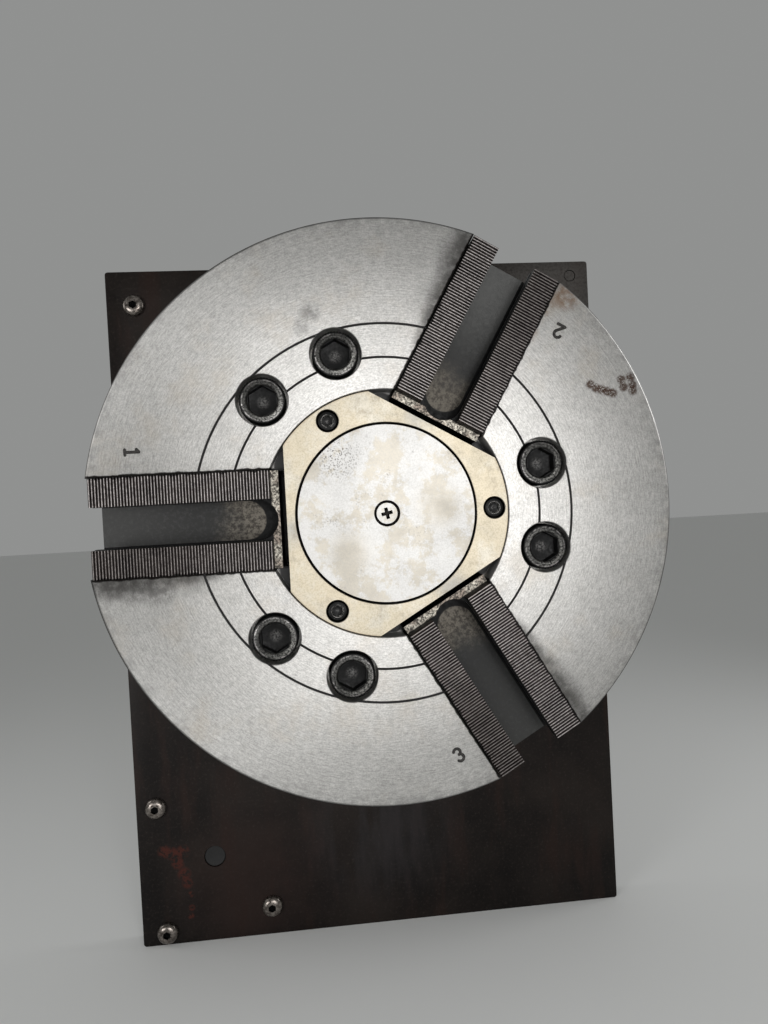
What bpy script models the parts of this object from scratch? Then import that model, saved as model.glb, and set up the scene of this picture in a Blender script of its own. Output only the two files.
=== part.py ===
# A three-jaw power chuck on the spindle nose of a turning centre, in front of the headstock's
# face plate. Blender 4.5, metres, Z up. The spindle axis is Y and the chuck faces -Y.
# The origin lies on the spindle axis, on the flat back face that bolts to the headstock.

import math

import bmesh
import bpy
from mathutils import Matrix, Vector

MM = 0.001

# Running and seating clearances
SEAT_GAP = 0.3 * MM
SLIDE_GAP = 0.3 * MM
BORE_GAP = 0.3 * MM
JAW_FLOOR_GAP = 0.5 * MM
RUNNING_GAP = 2.0 * MM
SPINDLE_GAP = 0.5 * MM

# Headstock face plate
PLATE_WIDTH = 350 * MM
PLATE_TOP = 177 * MM
PLATE_BOTTOM = -303 * MM
PLATE_THICKNESS = 16 * MM
PLATE_CORNER = 2 * MM
PLATE_HOLE_DEPTH = 12 * MM
PLUG_RADIUS = 7.3 * MM
PLUG_SUNK = 0.6 * MM
DOWEL_RADIUS = 4.0 * MM

# What is let into the plate, measured from the plate's nearest edges
TOP_SCREW_FROM_LEFT = 19.0 * MM
TOP_SCREW_FROM_TOP = 24.2 * MM
LEFT_SCREW_FROM_LEFT = 13.9 * MM
LEFT_SCREW_FROM_BOTTOM = 99.0 * MM
CORNER_SCREW_FROM_LEFT = 17.3 * MM
CORNER_SCREW_FROM_BOTTOM = 9.0 * MM
BOTTOM_SCREW_FROM_LEFT = 92.2 * MM
BOTTOM_SCREW_FROM_BOTTOM = 20.7 * MM
PLUG_FROM_LEFT = 53.3 * MM
PLUG_FROM_BOTTOM = 60.4 * MM
DOWEL_FROM_RIGHT = 13.7 * MM
DOWEL_FROM_TOP = 10.5 * MM

# Spindle housing, which stands still in the plate's bore
HOUSING_RADIUS = 115 * MM
CAP_RADIUS = 125 * MM
CAP_PROUD = 8 * MM
HOUSING_BACK_WALL = 6 * MM

# Spindle nose
NOSE_FLANGE_RADIUS = 105 * MM
NOSE_FLANGE_THICKNESS = 20 * MM
NOSE_SHAFT_RADIUS = 65 * MM
NOSE_TAPER_RADIUS = 69.85 * MM
NOSE_TAPER_LENGTH = 13 * MM
NOSE_TAPER_ANGLE = math.radians(7.125)

# Chuck adapter
ADAPTER_RADIUS = 120 * MM
ADAPTER_THICKNESS = 19 * MM
REGISTER_RADIUS = 110 * MM
REGISTER_DEPTH = 6 * MM

# Chuck body
CHUCK_RADIUS = 152 * MM
CHUCK_DEPTH = 110 * MM
RIM_CHAMFER = 1.3 * MM
REAR_CHAMFER = 3.0 * MM
PLUNGER_BORE_RADIUS = 48 * MM
GROOVE_RADII = (80.3 * MM, 97.6 * MM)
GROOVE_WIDTH = 1.3 * MM
GROOVE_DEPTH = 0.8 * MM

# Button-head screws in the plate
BUTTON_RADIUS = 7.5 * MM
BUTTON_HEIGHT = 4.4 * MM
BUTTON_DOME = 3.6 * MM
BUTTON_FLAT_RADIUS = 3.4 * MM
BUTTON_SHANK_RADIUS = 4.0 * MM
BUTTON_SOCKET_FLATS = 5.0 * MM
BUTTON_SOCKET_DEPTH = 2.6 * MM

# Mounting bolts
BOLT_HEAD_RADIUS = 12.0 * MM
BOLT_HEAD_HEIGHT = 16.0 * MM
BOLT_HEAD_CHAMFER = 1.0 * MM
BOLT_SHANK_RADIUS = 8.0 * MM
BOLT_SOCKET_FLATS = 14.0 * MM
BOLT_SOCKET_DEPTH = 8.0 * MM
BOLT_CIRCLE = 85.7 * MM
BOLT_SPREAD = math.radians(15)
BOLT_SUNK = 1.0 * MM
BOLT_THREAD_GRIP = 12 * MM
COUNTERBORE_RADIUS = 13.3 * MM

# Front cover and its centre cap
COVER_RADIUS = 63.7 * MM
COVER_FLAT = 51.3 * MM
COVER_THICKNESS = 14 * MM
COVER_SCREW_CIRCLE = 56.3 * MM
COVER_SCREW_HEAD_RADIUS = 5.0 * MM
COVER_SCREW_HEAD_HEIGHT = 6.0 * MM
COVER_SCREW_CHAMFER = 0.4 * MM
COVER_SCREW_SHANK_RADIUS = 3.0 * MM
COVER_SCREW_SOCKET_FLATS = 5.0 * MM
COVER_SCREW_SOCKET_DEPTH = 3.0 * MM
COVER_COUNTERBORE_RADIUS = 5.6 * MM
COVER_COUNTERBORE_DEPTH = 7 * MM
COVER_SCREW_GRIP = 12 * MM
CAP_DISC_RADIUS = 46.0 * MM
CAP_DISC_THICKNESS = 8 * MM
CAP_DISC_GAP = 0.9 * MM
CAP_LIP = 4 * MM
CENTRE_HEAD_RADIUS = 5.2 * MM
CENTRE_SHANK_RADIUS = 3.0 * MM
CENTRE_HEAD_SUNK = 1.0 * MM
CENTRE_CONE_GAP = 0.4 * MM
CENTRE_SCREW_LENGTH = 12 * MM
CROSS_SPAN = 6.6 * MM
CROSS_SLOT = 1.6 * MM
CROSS_DEPTH = 1.8 * MM

# Master jaws
JAW_ANGLES = [math.radians(a) for a in (180, 60, -60)]
JAW_INNER_END = 54.7 * MM
JAW_OUTER_END = 147.3 * MM
JAW_WIDTH = 50 * MM
JAW_PROUD = 5 * MM
JAW_DEPTH = 40 * MM
TOOTH_PITCH = 1.5 * MM
TOOTH_DEPTH = 1.0 * MM
TOOTH_COUNT = 59
LAND_DROP = 8.0 * MM
ROW_SETBACK = 0.2 * MM
ROW_HEIGHT = 7.9 * MM
SLOT_WIDTH = 21 * MM
SLOT_DEPTH = 24 * MM
SLOT_END_WALL = 0.9 * MM
TEE_WIDTH = 31 * MM
TEE_HEIGHT = 12 * MM
TEE_END_WALL = 4 * MM
RAIL_PROUD = 6 * MM
RAIL_TOP = 20 * MM
RAIL_HEIGHT = 12 * MM
RAIL_SHORT = 1.0 * MM

# Facets in a full circle, and steps in a part of one
RIM_FACETS = 80
BORE_FACETS = 64
HEAD_FACETS = 18
SMALL_FACETS = 12
SLOT_END_STEPS = 12
CORNER_STEPS = 2
DOME_STEPS = 3

# Places along the spindle axis, worked out from the stack of pieces
PLATE_FRONT = -PLATE_THICKNESS
CAP_FRONT = PLATE_FRONT - CAP_PROUD
NOSE_BACK = CAP_FRONT - RUNNING_GAP
NOSE_FRONT = NOSE_BACK - NOSE_FLANGE_THICKNESS
ADAPTER_FRONT = NOSE_FRONT - ADAPTER_THICKNESS
CHUCK_FACE = ADAPTER_FRONT - CHUCK_DEPTH
JAW_TOP = CHUCK_FACE - JAW_PROUD
TEETH_START = JAW_OUTER_END - TOOTH_COUNT * TOOTH_PITCH
PAST = 1.0 * MM


# Places in the plate
PLATE_LEFT = -PLATE_WIDTH / 2
PLATE_RIGHT = PLATE_WIDTH / 2
PLATE_SCREW_PLACES = {
    "plate_screw_top_left": (PLATE_LEFT + TOP_SCREW_FROM_LEFT, PLATE_TOP - TOP_SCREW_FROM_TOP),
    "plate_screw_left": (PLATE_LEFT + LEFT_SCREW_FROM_LEFT, PLATE_BOTTOM + LEFT_SCREW_FROM_BOTTOM),
    "plate_screw_corner": (PLATE_LEFT + CORNER_SCREW_FROM_LEFT, PLATE_BOTTOM + CORNER_SCREW_FROM_BOTTOM),
    "plate_screw_bottom": (PLATE_LEFT + BOTTOM_SCREW_FROM_LEFT, PLATE_BOTTOM + BOTTOM_SCREW_FROM_BOTTOM),
}
PLUG_PLACE = (PLATE_LEFT + PLUG_FROM_LEFT, PLATE_BOTTOM + PLUG_FROM_BOTTOM)
DOWEL_PLACE = (PLATE_RIGHT - DOWEL_FROM_RIGHT, PLATE_TOP - DOWEL_FROM_TOP)


class ScrewSize:
    """The sizes of a socket screw. Its head's edge is chamfered, or domed round a flat middle."""

    def __init__(self, head, shank_radius, socket, dome_flat=None):
        self.head_radius, self.head_height, self.edge = head
        self.shank_radius = shank_radius
        self.socket_flats, self.socket_depth = socket
        self.dome_flat = dome_flat


MOUNTING_BOLT = ScrewSize(
    head=(BOLT_HEAD_RADIUS, BOLT_HEAD_HEIGHT, BOLT_HEAD_CHAMFER),
    shank_radius=BOLT_SHANK_RADIUS,
    socket=(BOLT_SOCKET_FLATS, BOLT_SOCKET_DEPTH),
)
COVER_SCREW = ScrewSize(
    head=(COVER_SCREW_HEAD_RADIUS, COVER_SCREW_HEAD_HEIGHT, COVER_SCREW_CHAMFER),
    shank_radius=COVER_SCREW_SHANK_RADIUS,
    socket=(COVER_SCREW_SOCKET_FLATS, COVER_SCREW_SOCKET_DEPTH),
)
PLATE_SCREW = ScrewSize(
    head=(BUTTON_RADIUS, BUTTON_HEIGHT, BUTTON_DOME),
    shank_radius=BUTTON_SHANK_RADIUS,
    socket=(BUTTON_SOCKET_FLATS, BUTTON_SOCKET_DEPTH),
    dome_flat=BUTTON_FLAT_RADIUS,
)


# Materials
def finish(name, colour, roughness, metallic):
    made = bpy.data.materials.new(name)
    made.use_nodes = True
    shader = made.node_tree.nodes["Principled BSDF"]
    shader.inputs["Base Color"].default_value = (*colour, 1)
    shader.inputs["Roughness"].default_value = roughness
    shader.inputs["Metallic"].default_value = metallic
    return made


# Building blocks
def node_from(name, mesh, material):
    """Makes an object of a bmesh, with its faces pointing out."""
    if mesh.calc_volume(signed=True) < 0:
        bmesh.ops.reverse_faces(mesh, faces=mesh.faces)
    data = bpy.data.meshes.new(name)
    mesh.to_mesh(data)
    mesh.free()
    data.shade_smooth()
    data.set_sharp_from_angle(angle=math.radians(30))
    made = bpy.data.objects.new(name, data)
    bpy.context.scene.collection.objects.link(made)
    if material:
        data.materials.append(material)
    return made


def hexagon_radius(angle, flats):
    """How far a hexagon's side is from its centre in this direction."""
    side = math.radians(60)
    return flats / 2 / math.cos((angle % side) - side / 2)


def add_ring(mesh, facets, radius, y, centre=(0, 0), flats=None):
    """Points round an axis along Y: on a circle, or on a hexagon where flats is given."""
    points = []
    for step in range(facets):
        angle = 2 * math.pi * step / facets
        reach = hexagon_radius(angle, flats) if flats else radius
        place = (centre[0] + reach * math.cos(angle), y, centre[1] + reach * math.sin(angle))
        points.append(mesh.verts.new(place))
    return points


def add_turned(mesh, rings, facets, centre=(0, 0)):
    """A closed solid through rings of (radius, y) or (radius, y, flats), with both ends capped."""
    loops = [add_ring(mesh, facets, ring[0], ring[1], centre, *ring[2:]) for ring in rings]
    for near, far in zip(loops, loops[1:]):
        for step in range(facets):
            after = (step + 1) % facets
            mesh.faces.new((near[step], near[after], far[after], far[step]))
    mesh.faces.new(loops[0][::-1])
    mesh.faces.new(loops[-1])


def turned(name, rings, facets, material, place=(0, 0)):
    """One turned piece, with its own origin on its axis."""
    mesh = bmesh.new()
    add_turned(mesh, rings, facets)
    made = node_from(name, mesh, material)
    made.location = (place[0], 0, place[1])
    return made


def spun(name, outline, facets, material):
    """A ring-shaped solid: a closed outline of (radius, y) spun about the spindle axis."""
    mesh = bmesh.new()
    points = [mesh.verts.new((radius, y, 0)) for radius, y in outline]
    edges = [mesh.edges.new(pair) for pair in zip(points, points[1:] + points[:1])]
    bmesh.ops.spin(
        mesh,
        geom=points + edges,
        cent=(0, 0, 0),
        axis=(0, 1, 0),
        angle=2 * math.pi,
        steps=facets,
        use_merge=True,
    )
    bmesh.ops.recalc_face_normals(mesh, faces=mesh.faces)
    return node_from(name, mesh, material)


def extruded(name, outline, reach, material):
    """A flat outline of 3-D points, extruded by the vector reach."""
    mesh = bmesh.new()
    face = mesh.faces.new([mesh.verts.new(point) for point in outline])
    sweep = bmesh.ops.extrude_face_region(mesh, geom=[face])
    moved = [item for item in sweep["geom"] if isinstance(item, bmesh.types.BMVert)]
    bmesh.ops.translate(mesh, verts=moved, vec=reach)
    bmesh.ops.recalc_face_normals(mesh, faces=mesh.faces)
    return node_from(name, mesh, material)


def boolean(target, tool, operation):
    """Cuts target by tool, or joins them. The tool stays as a hidden guide."""
    step = target.modifiers.new(tool.name, "BOOLEAN")
    step.operation = operation
    step.object = tool
    tool.hide_render = True
    tool.display_type = "WIRE"


def cut(target, tool):
    boolean(target, tool, "DIFFERENCE")


def join(target, tool):
    boolean(target, tool, "UNION")


def on_circle(radius, angle):
    return (radius * math.cos(angle), radius * math.sin(angle))


def round_cutter(name, radius, start, end, facets, places):
    """One cutter with a straight round hole at each place, from start to end along Y."""
    mesh = bmesh.new()
    for place in places:
        add_turned(mesh, [(radius, start), (radius, end)], facets, place)
    return node_from(name, mesh, None)


def step_cutter(name, rings, facets, places):
    """One cutter with a stepped round hole at each place, through rings of (radius, y)."""
    mesh = bmesh.new()
    for place in places:
        add_turned(mesh, rings, facets, place)
    return node_from(name, mesh, None)


def dome(flat, radius, top, height):
    """Rings of (radius, y) over a domed edge, from its flat middle down to its full radius."""
    rings = []
    for step in range(DOME_STEPS + 1):
        bend = math.pi / 2 * step / DOME_STEPS
        rings.append((flat + (radius - flat) * math.sin(bend), top + height * (1 - math.cos(bend))))
    return rings


def socket_screw(name, size, place, seat, length, facets, material):
    """A socket screw whose head's underside is at y = seat, with the head towards -Y."""
    top = seat - size.head_height
    floor = top + size.socket_depth
    rings = [(0, floor, size.socket_flats), (0, top, size.socket_flats)]
    if size.dome_flat:
        rings += dome(size.dome_flat, size.head_radius, top, size.edge)
    else:
        rings.append((size.head_radius - size.edge, top))
        rings.append((size.head_radius, top + size.edge))
    rings.append((size.head_radius, seat))
    rings.append((size.shank_radius, seat))
    rings.append((size.shank_radius, seat + length))
    return turned(name, rings, facets, material, place)


# Headstock face plate and what is let into it
def rounded_rectangle(left, right, bottom, top, radius, y):
    """The points of a rectangle with round corners, anticlockwise from the right."""
    points = []
    inner_left, inner_right = left + radius, right - radius
    inner_bottom, inner_top = bottom + radius, top - radius
    centres = [(inner_right, inner_top), (inner_left, inner_top)]
    centres += [(inner_left, inner_bottom), (inner_right, inner_bottom)]
    for corner, centre in enumerate(centres):
        for step in range(CORNER_STEPS + 1):
            across, up = on_circle(radius, math.pi / 2 * (corner + step / CORNER_STEPS))
            points.append((centre[0] + across, y, centre[1] + up))
    return points


def build_plate(steel):
    sides = (PLATE_LEFT, PLATE_RIGHT, PLATE_BOTTOM, PLATE_TOP)
    outline = rounded_rectangle(*sides, PLATE_CORNER, PLATE_FRONT)
    plate = extruded("headstock_plate", outline, (0, PLATE_THICKNESS, 0), steel)
    front = PLATE_FRONT - PAST
    bore = HOUSING_RADIUS + BORE_GAP
    cut(plate, round_cutter("plate_bore", bore, front, PAST, BORE_FACETS, [(0, 0)]))
    floor = PLATE_FRONT + PLATE_HOLE_DEPTH
    holes = {
        "plate_screw_holes": (PLATE_SCREW.shank_radius, PLATE_SCREW_PLACES.values()),
        "plate_plug_hole": (PLUG_RADIUS, [PLUG_PLACE]),
        "plate_dowel_hole": (DOWEL_RADIUS, [DOWEL_PLACE]),
    }
    for name, (radius, places) in holes.items():
        cut(plate, round_cutter(name, radius + BORE_GAP, front, floor, SMALL_FACETS, places))


def build_plate_fittings(screw_steel, plug_black, steel):
    grip = PLATE_HOLE_DEPTH - 2 * SEAT_GAP
    for name, place in PLATE_SCREW_PLACES.items():
        seat = PLATE_FRONT - SEAT_GAP
        socket_screw(name, PLATE_SCREW, place, seat, grip, SMALL_FACETS, screw_steel)
    end = PLATE_FRONT + PLATE_HOLE_DEPTH - SEAT_GAP
    plug = [(PLUG_RADIUS, PLATE_FRONT + PLUG_SUNK), (PLUG_RADIUS, end)]
    turned("plate_plug", plug, HEAD_FACETS, plug_black, PLUG_PLACE)
    dowel = [(DOWEL_RADIUS, PLATE_FRONT), (DOWEL_RADIUS, end)]
    turned("plate_dowel", dowel, SMALL_FACETS, steel, DOWEL_PLACE)


# Spindle housing
def build_housing(iron):
    bore = NOSE_SHAFT_RADIUS + SPINDLE_GAP
    floor = -HOUSING_BACK_WALL
    rings = [
        (bore, floor),
        (bore, CAP_FRONT),
        (CAP_RADIUS - PAST, CAP_FRONT),
        (CAP_RADIUS, CAP_FRONT + PAST),
        (CAP_RADIUS, PLATE_FRONT - SEAT_GAP),
        (HOUSING_RADIUS, PLATE_FRONT - SEAT_GAP),
        (HOUSING_RADIUS, 0),
    ]
    turned("spindle_housing", rings, BORE_FACETS, iron)


# Spindle nose with its flange and short taper
def taper_radius(depth):
    """The short taper's radius this far in front of the nose's face."""
    return NOSE_TAPER_RADIUS - depth * math.tan(NOSE_TAPER_ANGLE)


def bolt_places():
    between = [angle + math.pi for angle in JAW_ANGLES]
    return [on_circle(BOLT_CIRCLE, a + side * BOLT_SPREAD) for a in between for side in (-1, 1)]


def build_nose(steel):
    taper_tip = NOSE_FRONT - NOSE_TAPER_LENGTH
    rings = [
        (taper_radius(NOSE_TAPER_LENGTH), taper_tip),
        (taper_radius(0), NOSE_FRONT),
        (NOSE_FLANGE_RADIUS - PAST, NOSE_FRONT),
        (NOSE_FLANGE_RADIUS, NOSE_FRONT + PAST),
        (NOSE_FLANGE_RADIUS, NOSE_BACK),
        (NOSE_SHAFT_RADIUS, NOSE_BACK),
        (NOSE_SHAFT_RADIUS, -HOUSING_BACK_WALL - RUNNING_GAP),
    ]
    nose = turned("spindle_nose", rings, BORE_FACETS, steel)
    deep = NOSE_FRONT + BOLT_THREAD_GRIP + SEAT_GAP
    radius = MOUNTING_BOLT.shank_radius + BORE_GAP
    start = NOSE_FRONT - PAST
    cut(nose, round_cutter("nose_threads", radius, start, deep, HEAD_FACETS, bolt_places()))


# Adapter between the nose and the chuck
def build_adapter(steel):
    back = NOSE_FRONT - SEAT_GAP
    deep = NOSE_TAPER_LENGTH + RUNNING_GAP
    outline = [
        (taper_radius(0) + BORE_GAP, back),
        (taper_radius(deep) + BORE_GAP, NOSE_FRONT - deep),
        (PLUNGER_BORE_RADIUS, NOSE_FRONT - deep),
        (PLUNGER_BORE_RADIUS, ADAPTER_FRONT - REGISTER_DEPTH + SEAT_GAP),
        (REGISTER_RADIUS, ADAPTER_FRONT - REGISTER_DEPTH + SEAT_GAP),
        (REGISTER_RADIUS, ADAPTER_FRONT + SEAT_GAP),
        (ADAPTER_RADIUS, ADAPTER_FRONT + SEAT_GAP),
        (ADAPTER_RADIUS, back - PAST),
        (ADAPTER_RADIUS - PAST, back),
    ]
    adapter = spun("chuck_adapter", outline, BORE_FACETS, steel)
    front = ADAPTER_FRONT - REGISTER_DEPTH - PAST
    radius = MOUNTING_BOLT.shank_radius + 2 * BORE_GAP
    end = NOSE_FRONT + PAST
    cut(adapter, round_cutter("adapter_holes", radius, front, end, HEAD_FACETS, bolt_places()))


# Chuck body
def swing(made, angle):
    """Swings what is built along +X to this angle about the spindle, seen from the front."""
    made.rotation_euler.y = -angle
    return made


def slot_cutter(name, angle):
    """The guideway of one jaw: a slot with a wider groove on each side, open at the rim."""
    half = JAW_WIDTH / 2 + SLIDE_GAP
    wide = half + RAIL_PROUD
    floor = CHUCK_FACE + JAW_DEPTH + JAW_FLOOR_GAP
    rail_top = CHUCK_FACE + RAIL_TOP - SLIDE_GAP
    rail_bottom = CHUCK_FACE + RAIL_TOP + RAIL_HEIGHT + SLIDE_GAP
    front = CHUCK_FACE - PAST
    side = [(half, front), (half, rail_top), (wide, rail_top), (wide, rail_bottom)]
    side += [(half, rail_bottom), (half, floor)]
    mirrored = [(-z, y) for z, y in reversed(side)]
    outline = [(0, y, z) for z, y in side + mirrored]
    return swing(extruded(name, outline, (CHUCK_RADIUS + PAST, 0, 0), None), angle)


def cover_screw_places():
    return [on_circle(COVER_SCREW_CIRCLE, angle + math.pi) for angle in JAW_ANGLES]


def build_chuck_body(steel):
    back = ADAPTER_FRONT
    register = REGISTER_RADIUS + BORE_GAP
    seat = CHUCK_FACE + COVER_THICKNESS + SEAT_GAP
    recess = COVER_RADIUS + BORE_GAP
    outline = [
        (CHUCK_RADIUS - RIM_CHAMFER, CHUCK_FACE),
        (CHUCK_RADIUS, CHUCK_FACE + RIM_CHAMFER),
        (CHUCK_RADIUS, back - REAR_CHAMFER),
        (CHUCK_RADIUS - REAR_CHAMFER, back),
        (register, back),
        (register, back - REGISTER_DEPTH),
        (PLUNGER_BORE_RADIUS, back - REGISTER_DEPTH),
        (PLUNGER_BORE_RADIUS, seat),
        (recess, seat),
        (recess, CHUCK_FACE),
    ]
    for radius in GROOVE_RADII:
        outline.append((radius - GROOVE_WIDTH / 2, CHUCK_FACE))
        outline.append((radius, CHUCK_FACE + GROOVE_DEPTH))
        outline.append((radius + GROOVE_WIDTH / 2, CHUCK_FACE))
    body = spun("chuck_body", outline, RIM_FACETS, steel)
    for number, angle in enumerate(JAW_ANGLES, 1):
        cut(body, slot_cutter(f"jaw_slot_{number}", angle))
    front = CHUCK_FACE - PAST
    shoulder = CHUCK_FACE + BOLT_SUNK + MOUNTING_BOLT.head_height + SEAT_GAP
    shank = MOUNTING_BOLT.shank_radius + 2 * BORE_GAP
    rings = [(COUNTERBORE_RADIUS, front), (COUNTERBORE_RADIUS, shoulder)]
    rings += [(shank, shoulder), (shank, back)]
    cut(body, step_cutter("body_bolt_holes", rings, HEAD_FACETS, bolt_places()))
    deep = seat + COVER_SCREW_GRIP
    radius = COVER_SCREW.shank_radius + BORE_GAP
    places = cover_screw_places()
    cut(body, round_cutter("body_cover_threads", radius, front, deep, SMALL_FACETS, places))


def build_mounting_bolts(black):
    seat = CHUCK_FACE + BOLT_SUNK + MOUNTING_BOLT.head_height
    length = NOSE_FRONT + BOLT_THREAD_GRIP - seat
    for number, place in enumerate(bolt_places(), 1):
        name = f"mounting_bolt_{number}"
        socket_screw(name, MOUNTING_BOLT, place, seat, length, HEAD_FACETS, black)


# Front cover, centre cap and their screws
def flatted_circle(radius, flat, angles, y, facets):
    """A circle with a flat across it in each of these directions."""
    points = []
    for step in range(facets):
        angle = 2 * math.pi * step / facets
        away = min(abs((angle - a + math.pi) % (2 * math.pi) - math.pi) for a in angles)
        reach = min(radius, flat / math.cos(away)) if away < math.pi / len(angles) else radius
        across, up = on_circle(reach, angle)
        points.append((across, y, up))
    return points


def build_cover(gilt, black):
    outline = flatted_circle(COVER_RADIUS, COVER_FLAT, JAW_ANGLES, CHUCK_FACE, BORE_FACETS)
    cover = extruded("cover_ring", outline, (0, COVER_THICKNESS, 0), gilt)
    front = CHUCK_FACE - PAST
    ledge = CHUCK_FACE + CAP_DISC_THICKNESS + SEAT_GAP
    wide = CAP_DISC_RADIUS + CAP_DISC_GAP
    back = CHUCK_FACE + COVER_THICKNESS + PAST
    rings = [(wide, front), (wide, ledge), (wide - CAP_LIP, ledge), (wide - CAP_LIP, back)]
    cut(cover, step_cutter("cover_bore", rings, BORE_FACETS, [(0, 0)]))
    seat = CHUCK_FACE + COVER_COUNTERBORE_DEPTH
    shank = COVER_SCREW.shank_radius + BORE_GAP
    rings = [(COVER_COUNTERBORE_RADIUS, front), (COVER_COUNTERBORE_RADIUS, seat)]
    rings += [(shank, seat), (shank, back)]
    places = cover_screw_places()
    cut(cover, step_cutter("cover_holes", rings, SMALL_FACETS, places))
    length = CHUCK_FACE + COVER_THICKNESS + COVER_SCREW_GRIP - seat
    for number, place in enumerate(places, 1):
        name = f"cover_screw_{number}"
        socket_screw(name, COVER_SCREW, place, seat - SEAT_GAP, length, SMALL_FACETS, black)


def build_centre_cap(bright):
    """The cap disc, with a countersunk hole for its screw."""
    back = CHUCK_FACE + CAP_DISC_THICKNESS
    hole = CENTRE_SHANK_RADIUS + BORE_GAP
    mouth = CENTRE_HEAD_RADIUS + CENTRE_HEAD_SUNK + CENTRE_CONE_GAP
    outline = [
        (mouth, CHUCK_FACE),
        (CAP_DISC_RADIUS, CHUCK_FACE),
        (CAP_DISC_RADIUS, back),
        (hole, back),
        (hole, CHUCK_FACE + mouth - hole),
    ]
    spun("centre_cap", outline, BORE_FACETS, bright)


def build_centre_screw(bright):
    """A countersunk screw with a cross recess."""
    top = CHUCK_FACE + CENTRE_HEAD_SUNK
    neck = top + CENTRE_HEAD_RADIUS - CENTRE_SHANK_RADIUS
    rings = [
        (CENTRE_HEAD_RADIUS, top),
        (CENTRE_SHANK_RADIUS, neck),
        (CENTRE_SHANK_RADIUS, CHUCK_FACE + CENTRE_SCREW_LENGTH),
    ]
    screw = turned("centre_screw", rings, HEAD_FACETS, bright)
    long, short = CROSS_SPAN / 2, CROSS_SLOT / 2
    arm = [(long, -short), (long, short), (short, short)]
    corners = []
    for quarter in range(4):
        spin = Matrix.Rotation(math.pi / 2 * quarter, 2)
        corners += [spin @ Vector(point) for point in arm]
    outline = [(x, top - PAST, z) for x, z in corners]
    cut(screw, extruded("cross_recess", outline, (0, PAST + CROSS_DEPTH, 0), None))


# Master jaws
def jaw_profile():
    """The jaw's side view along +X: a flat bottom, the inner land and the toothed top."""
    bottom = CHUCK_FACE + JAW_DEPTH
    root = JAW_TOP + TOOTH_DEPTH
    points = [(JAW_INNER_END, bottom), (JAW_INNER_END, JAW_TOP + LAND_DROP)]
    points.append((TEETH_START, JAW_TOP + LAND_DROP))
    for tooth in range(TOOTH_COUNT):
        start = TEETH_START + tooth * TOOTH_PITCH
        points.append((start, root))
        points.append((start + TOOTH_PITCH / 2, JAW_TOP))
    points += [(JAW_OUTER_END, root), (JAW_OUTER_END, bottom)]
    return points


def round_ended_slot(start, width, top, bottom):
    """A slot along +X whose inner end is a half circle, with its tip at x = start."""
    radius = width / 2
    arc = [math.pi * (0.5 + step / SLOT_END_STEPS) for step in range(SLOT_END_STEPS + 1)]
    outline = [(start + radius + radius * math.cos(a), radius * math.sin(a)) for a in arc]
    outline += [(CHUCK_RADIUS + PAST, -radius), (CHUCK_RADIUS + PAST, radius)]
    return [(x, top, z) for x, z in outline], (0, bottom - top, 0)


def straight_slot(start, width):
    """The plan of a straight slot along +X that begins at x = start."""
    half = width / 2
    past_rim = CHUCK_RADIUS + PAST
    return [(start, half), (start, -half), (past_rim, -half), (past_rim, half)]


def build_jaw(number, angle, steel):
    half = JAW_WIDTH / 2
    outline = [(x, y, -half) for x, y in jaw_profile()]
    jaw = swing(extruded(f"master_jaw_{number}", outline, (0, 0, JAW_WIDTH), steel), angle)
    rail = half + RAIL_PROUD
    ends = (JAW_INNER_END + RAIL_SHORT, JAW_OUTER_END - RAIL_SHORT)
    rail_top = CHUCK_FACE + RAIL_TOP
    rails = [(ends[0], rail_top, -rail), (ends[1], rail_top, -rail)]
    rails += [(ends[1], rail_top, rail), (ends[0], rail_top, rail)]
    join(jaw, swing(extruded(f"rails_{number}", rails, (0, RAIL_HEIGHT, 0), None), angle))
    plan = straight_slot(TEETH_START - PAST, SLOT_WIDTH + 2 * ROW_SETBACK)
    between_rows = [(x, JAW_TOP - PAST, z) for x, z in plan]
    down = (0, PAST + ROW_HEIGHT, 0)
    cut(jaw, swing(extruded(f"between_rows_{number}", between_rows, down, None), angle))
    floor = JAW_TOP + SLOT_DEPTH
    start = JAW_INNER_END + SLOT_END_WALL
    neck, down = round_ended_slot(start, SLOT_WIDTH, JAW_TOP - PAST, floor)
    cut(jaw, swing(extruded(f"slot_{number}", neck, down, None), angle))
    start = JAW_INNER_END + TEE_END_WALL
    tee, down = round_ended_slot(start, TEE_WIDTH, floor - TEE_HEIGHT, floor)
    cut(jaw, swing(extruded(f"tee_{number}", tee, down, None), angle))


# What turns with the spindle hangs on an empty, whose Y axis is the spindle's
STANDS_STILL = ("plate_", "headstock_plate", "spindle_housing")


def hang_on_spindle():
    spindle = bpy.data.objects.new("spindle_axis", None)
    bpy.context.scene.collection.objects.link(spindle)
    for piece in bpy.data.objects:
        if piece != spindle and not piece.name.startswith(STANDS_STILL):
            piece.parent = spindle


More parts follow.
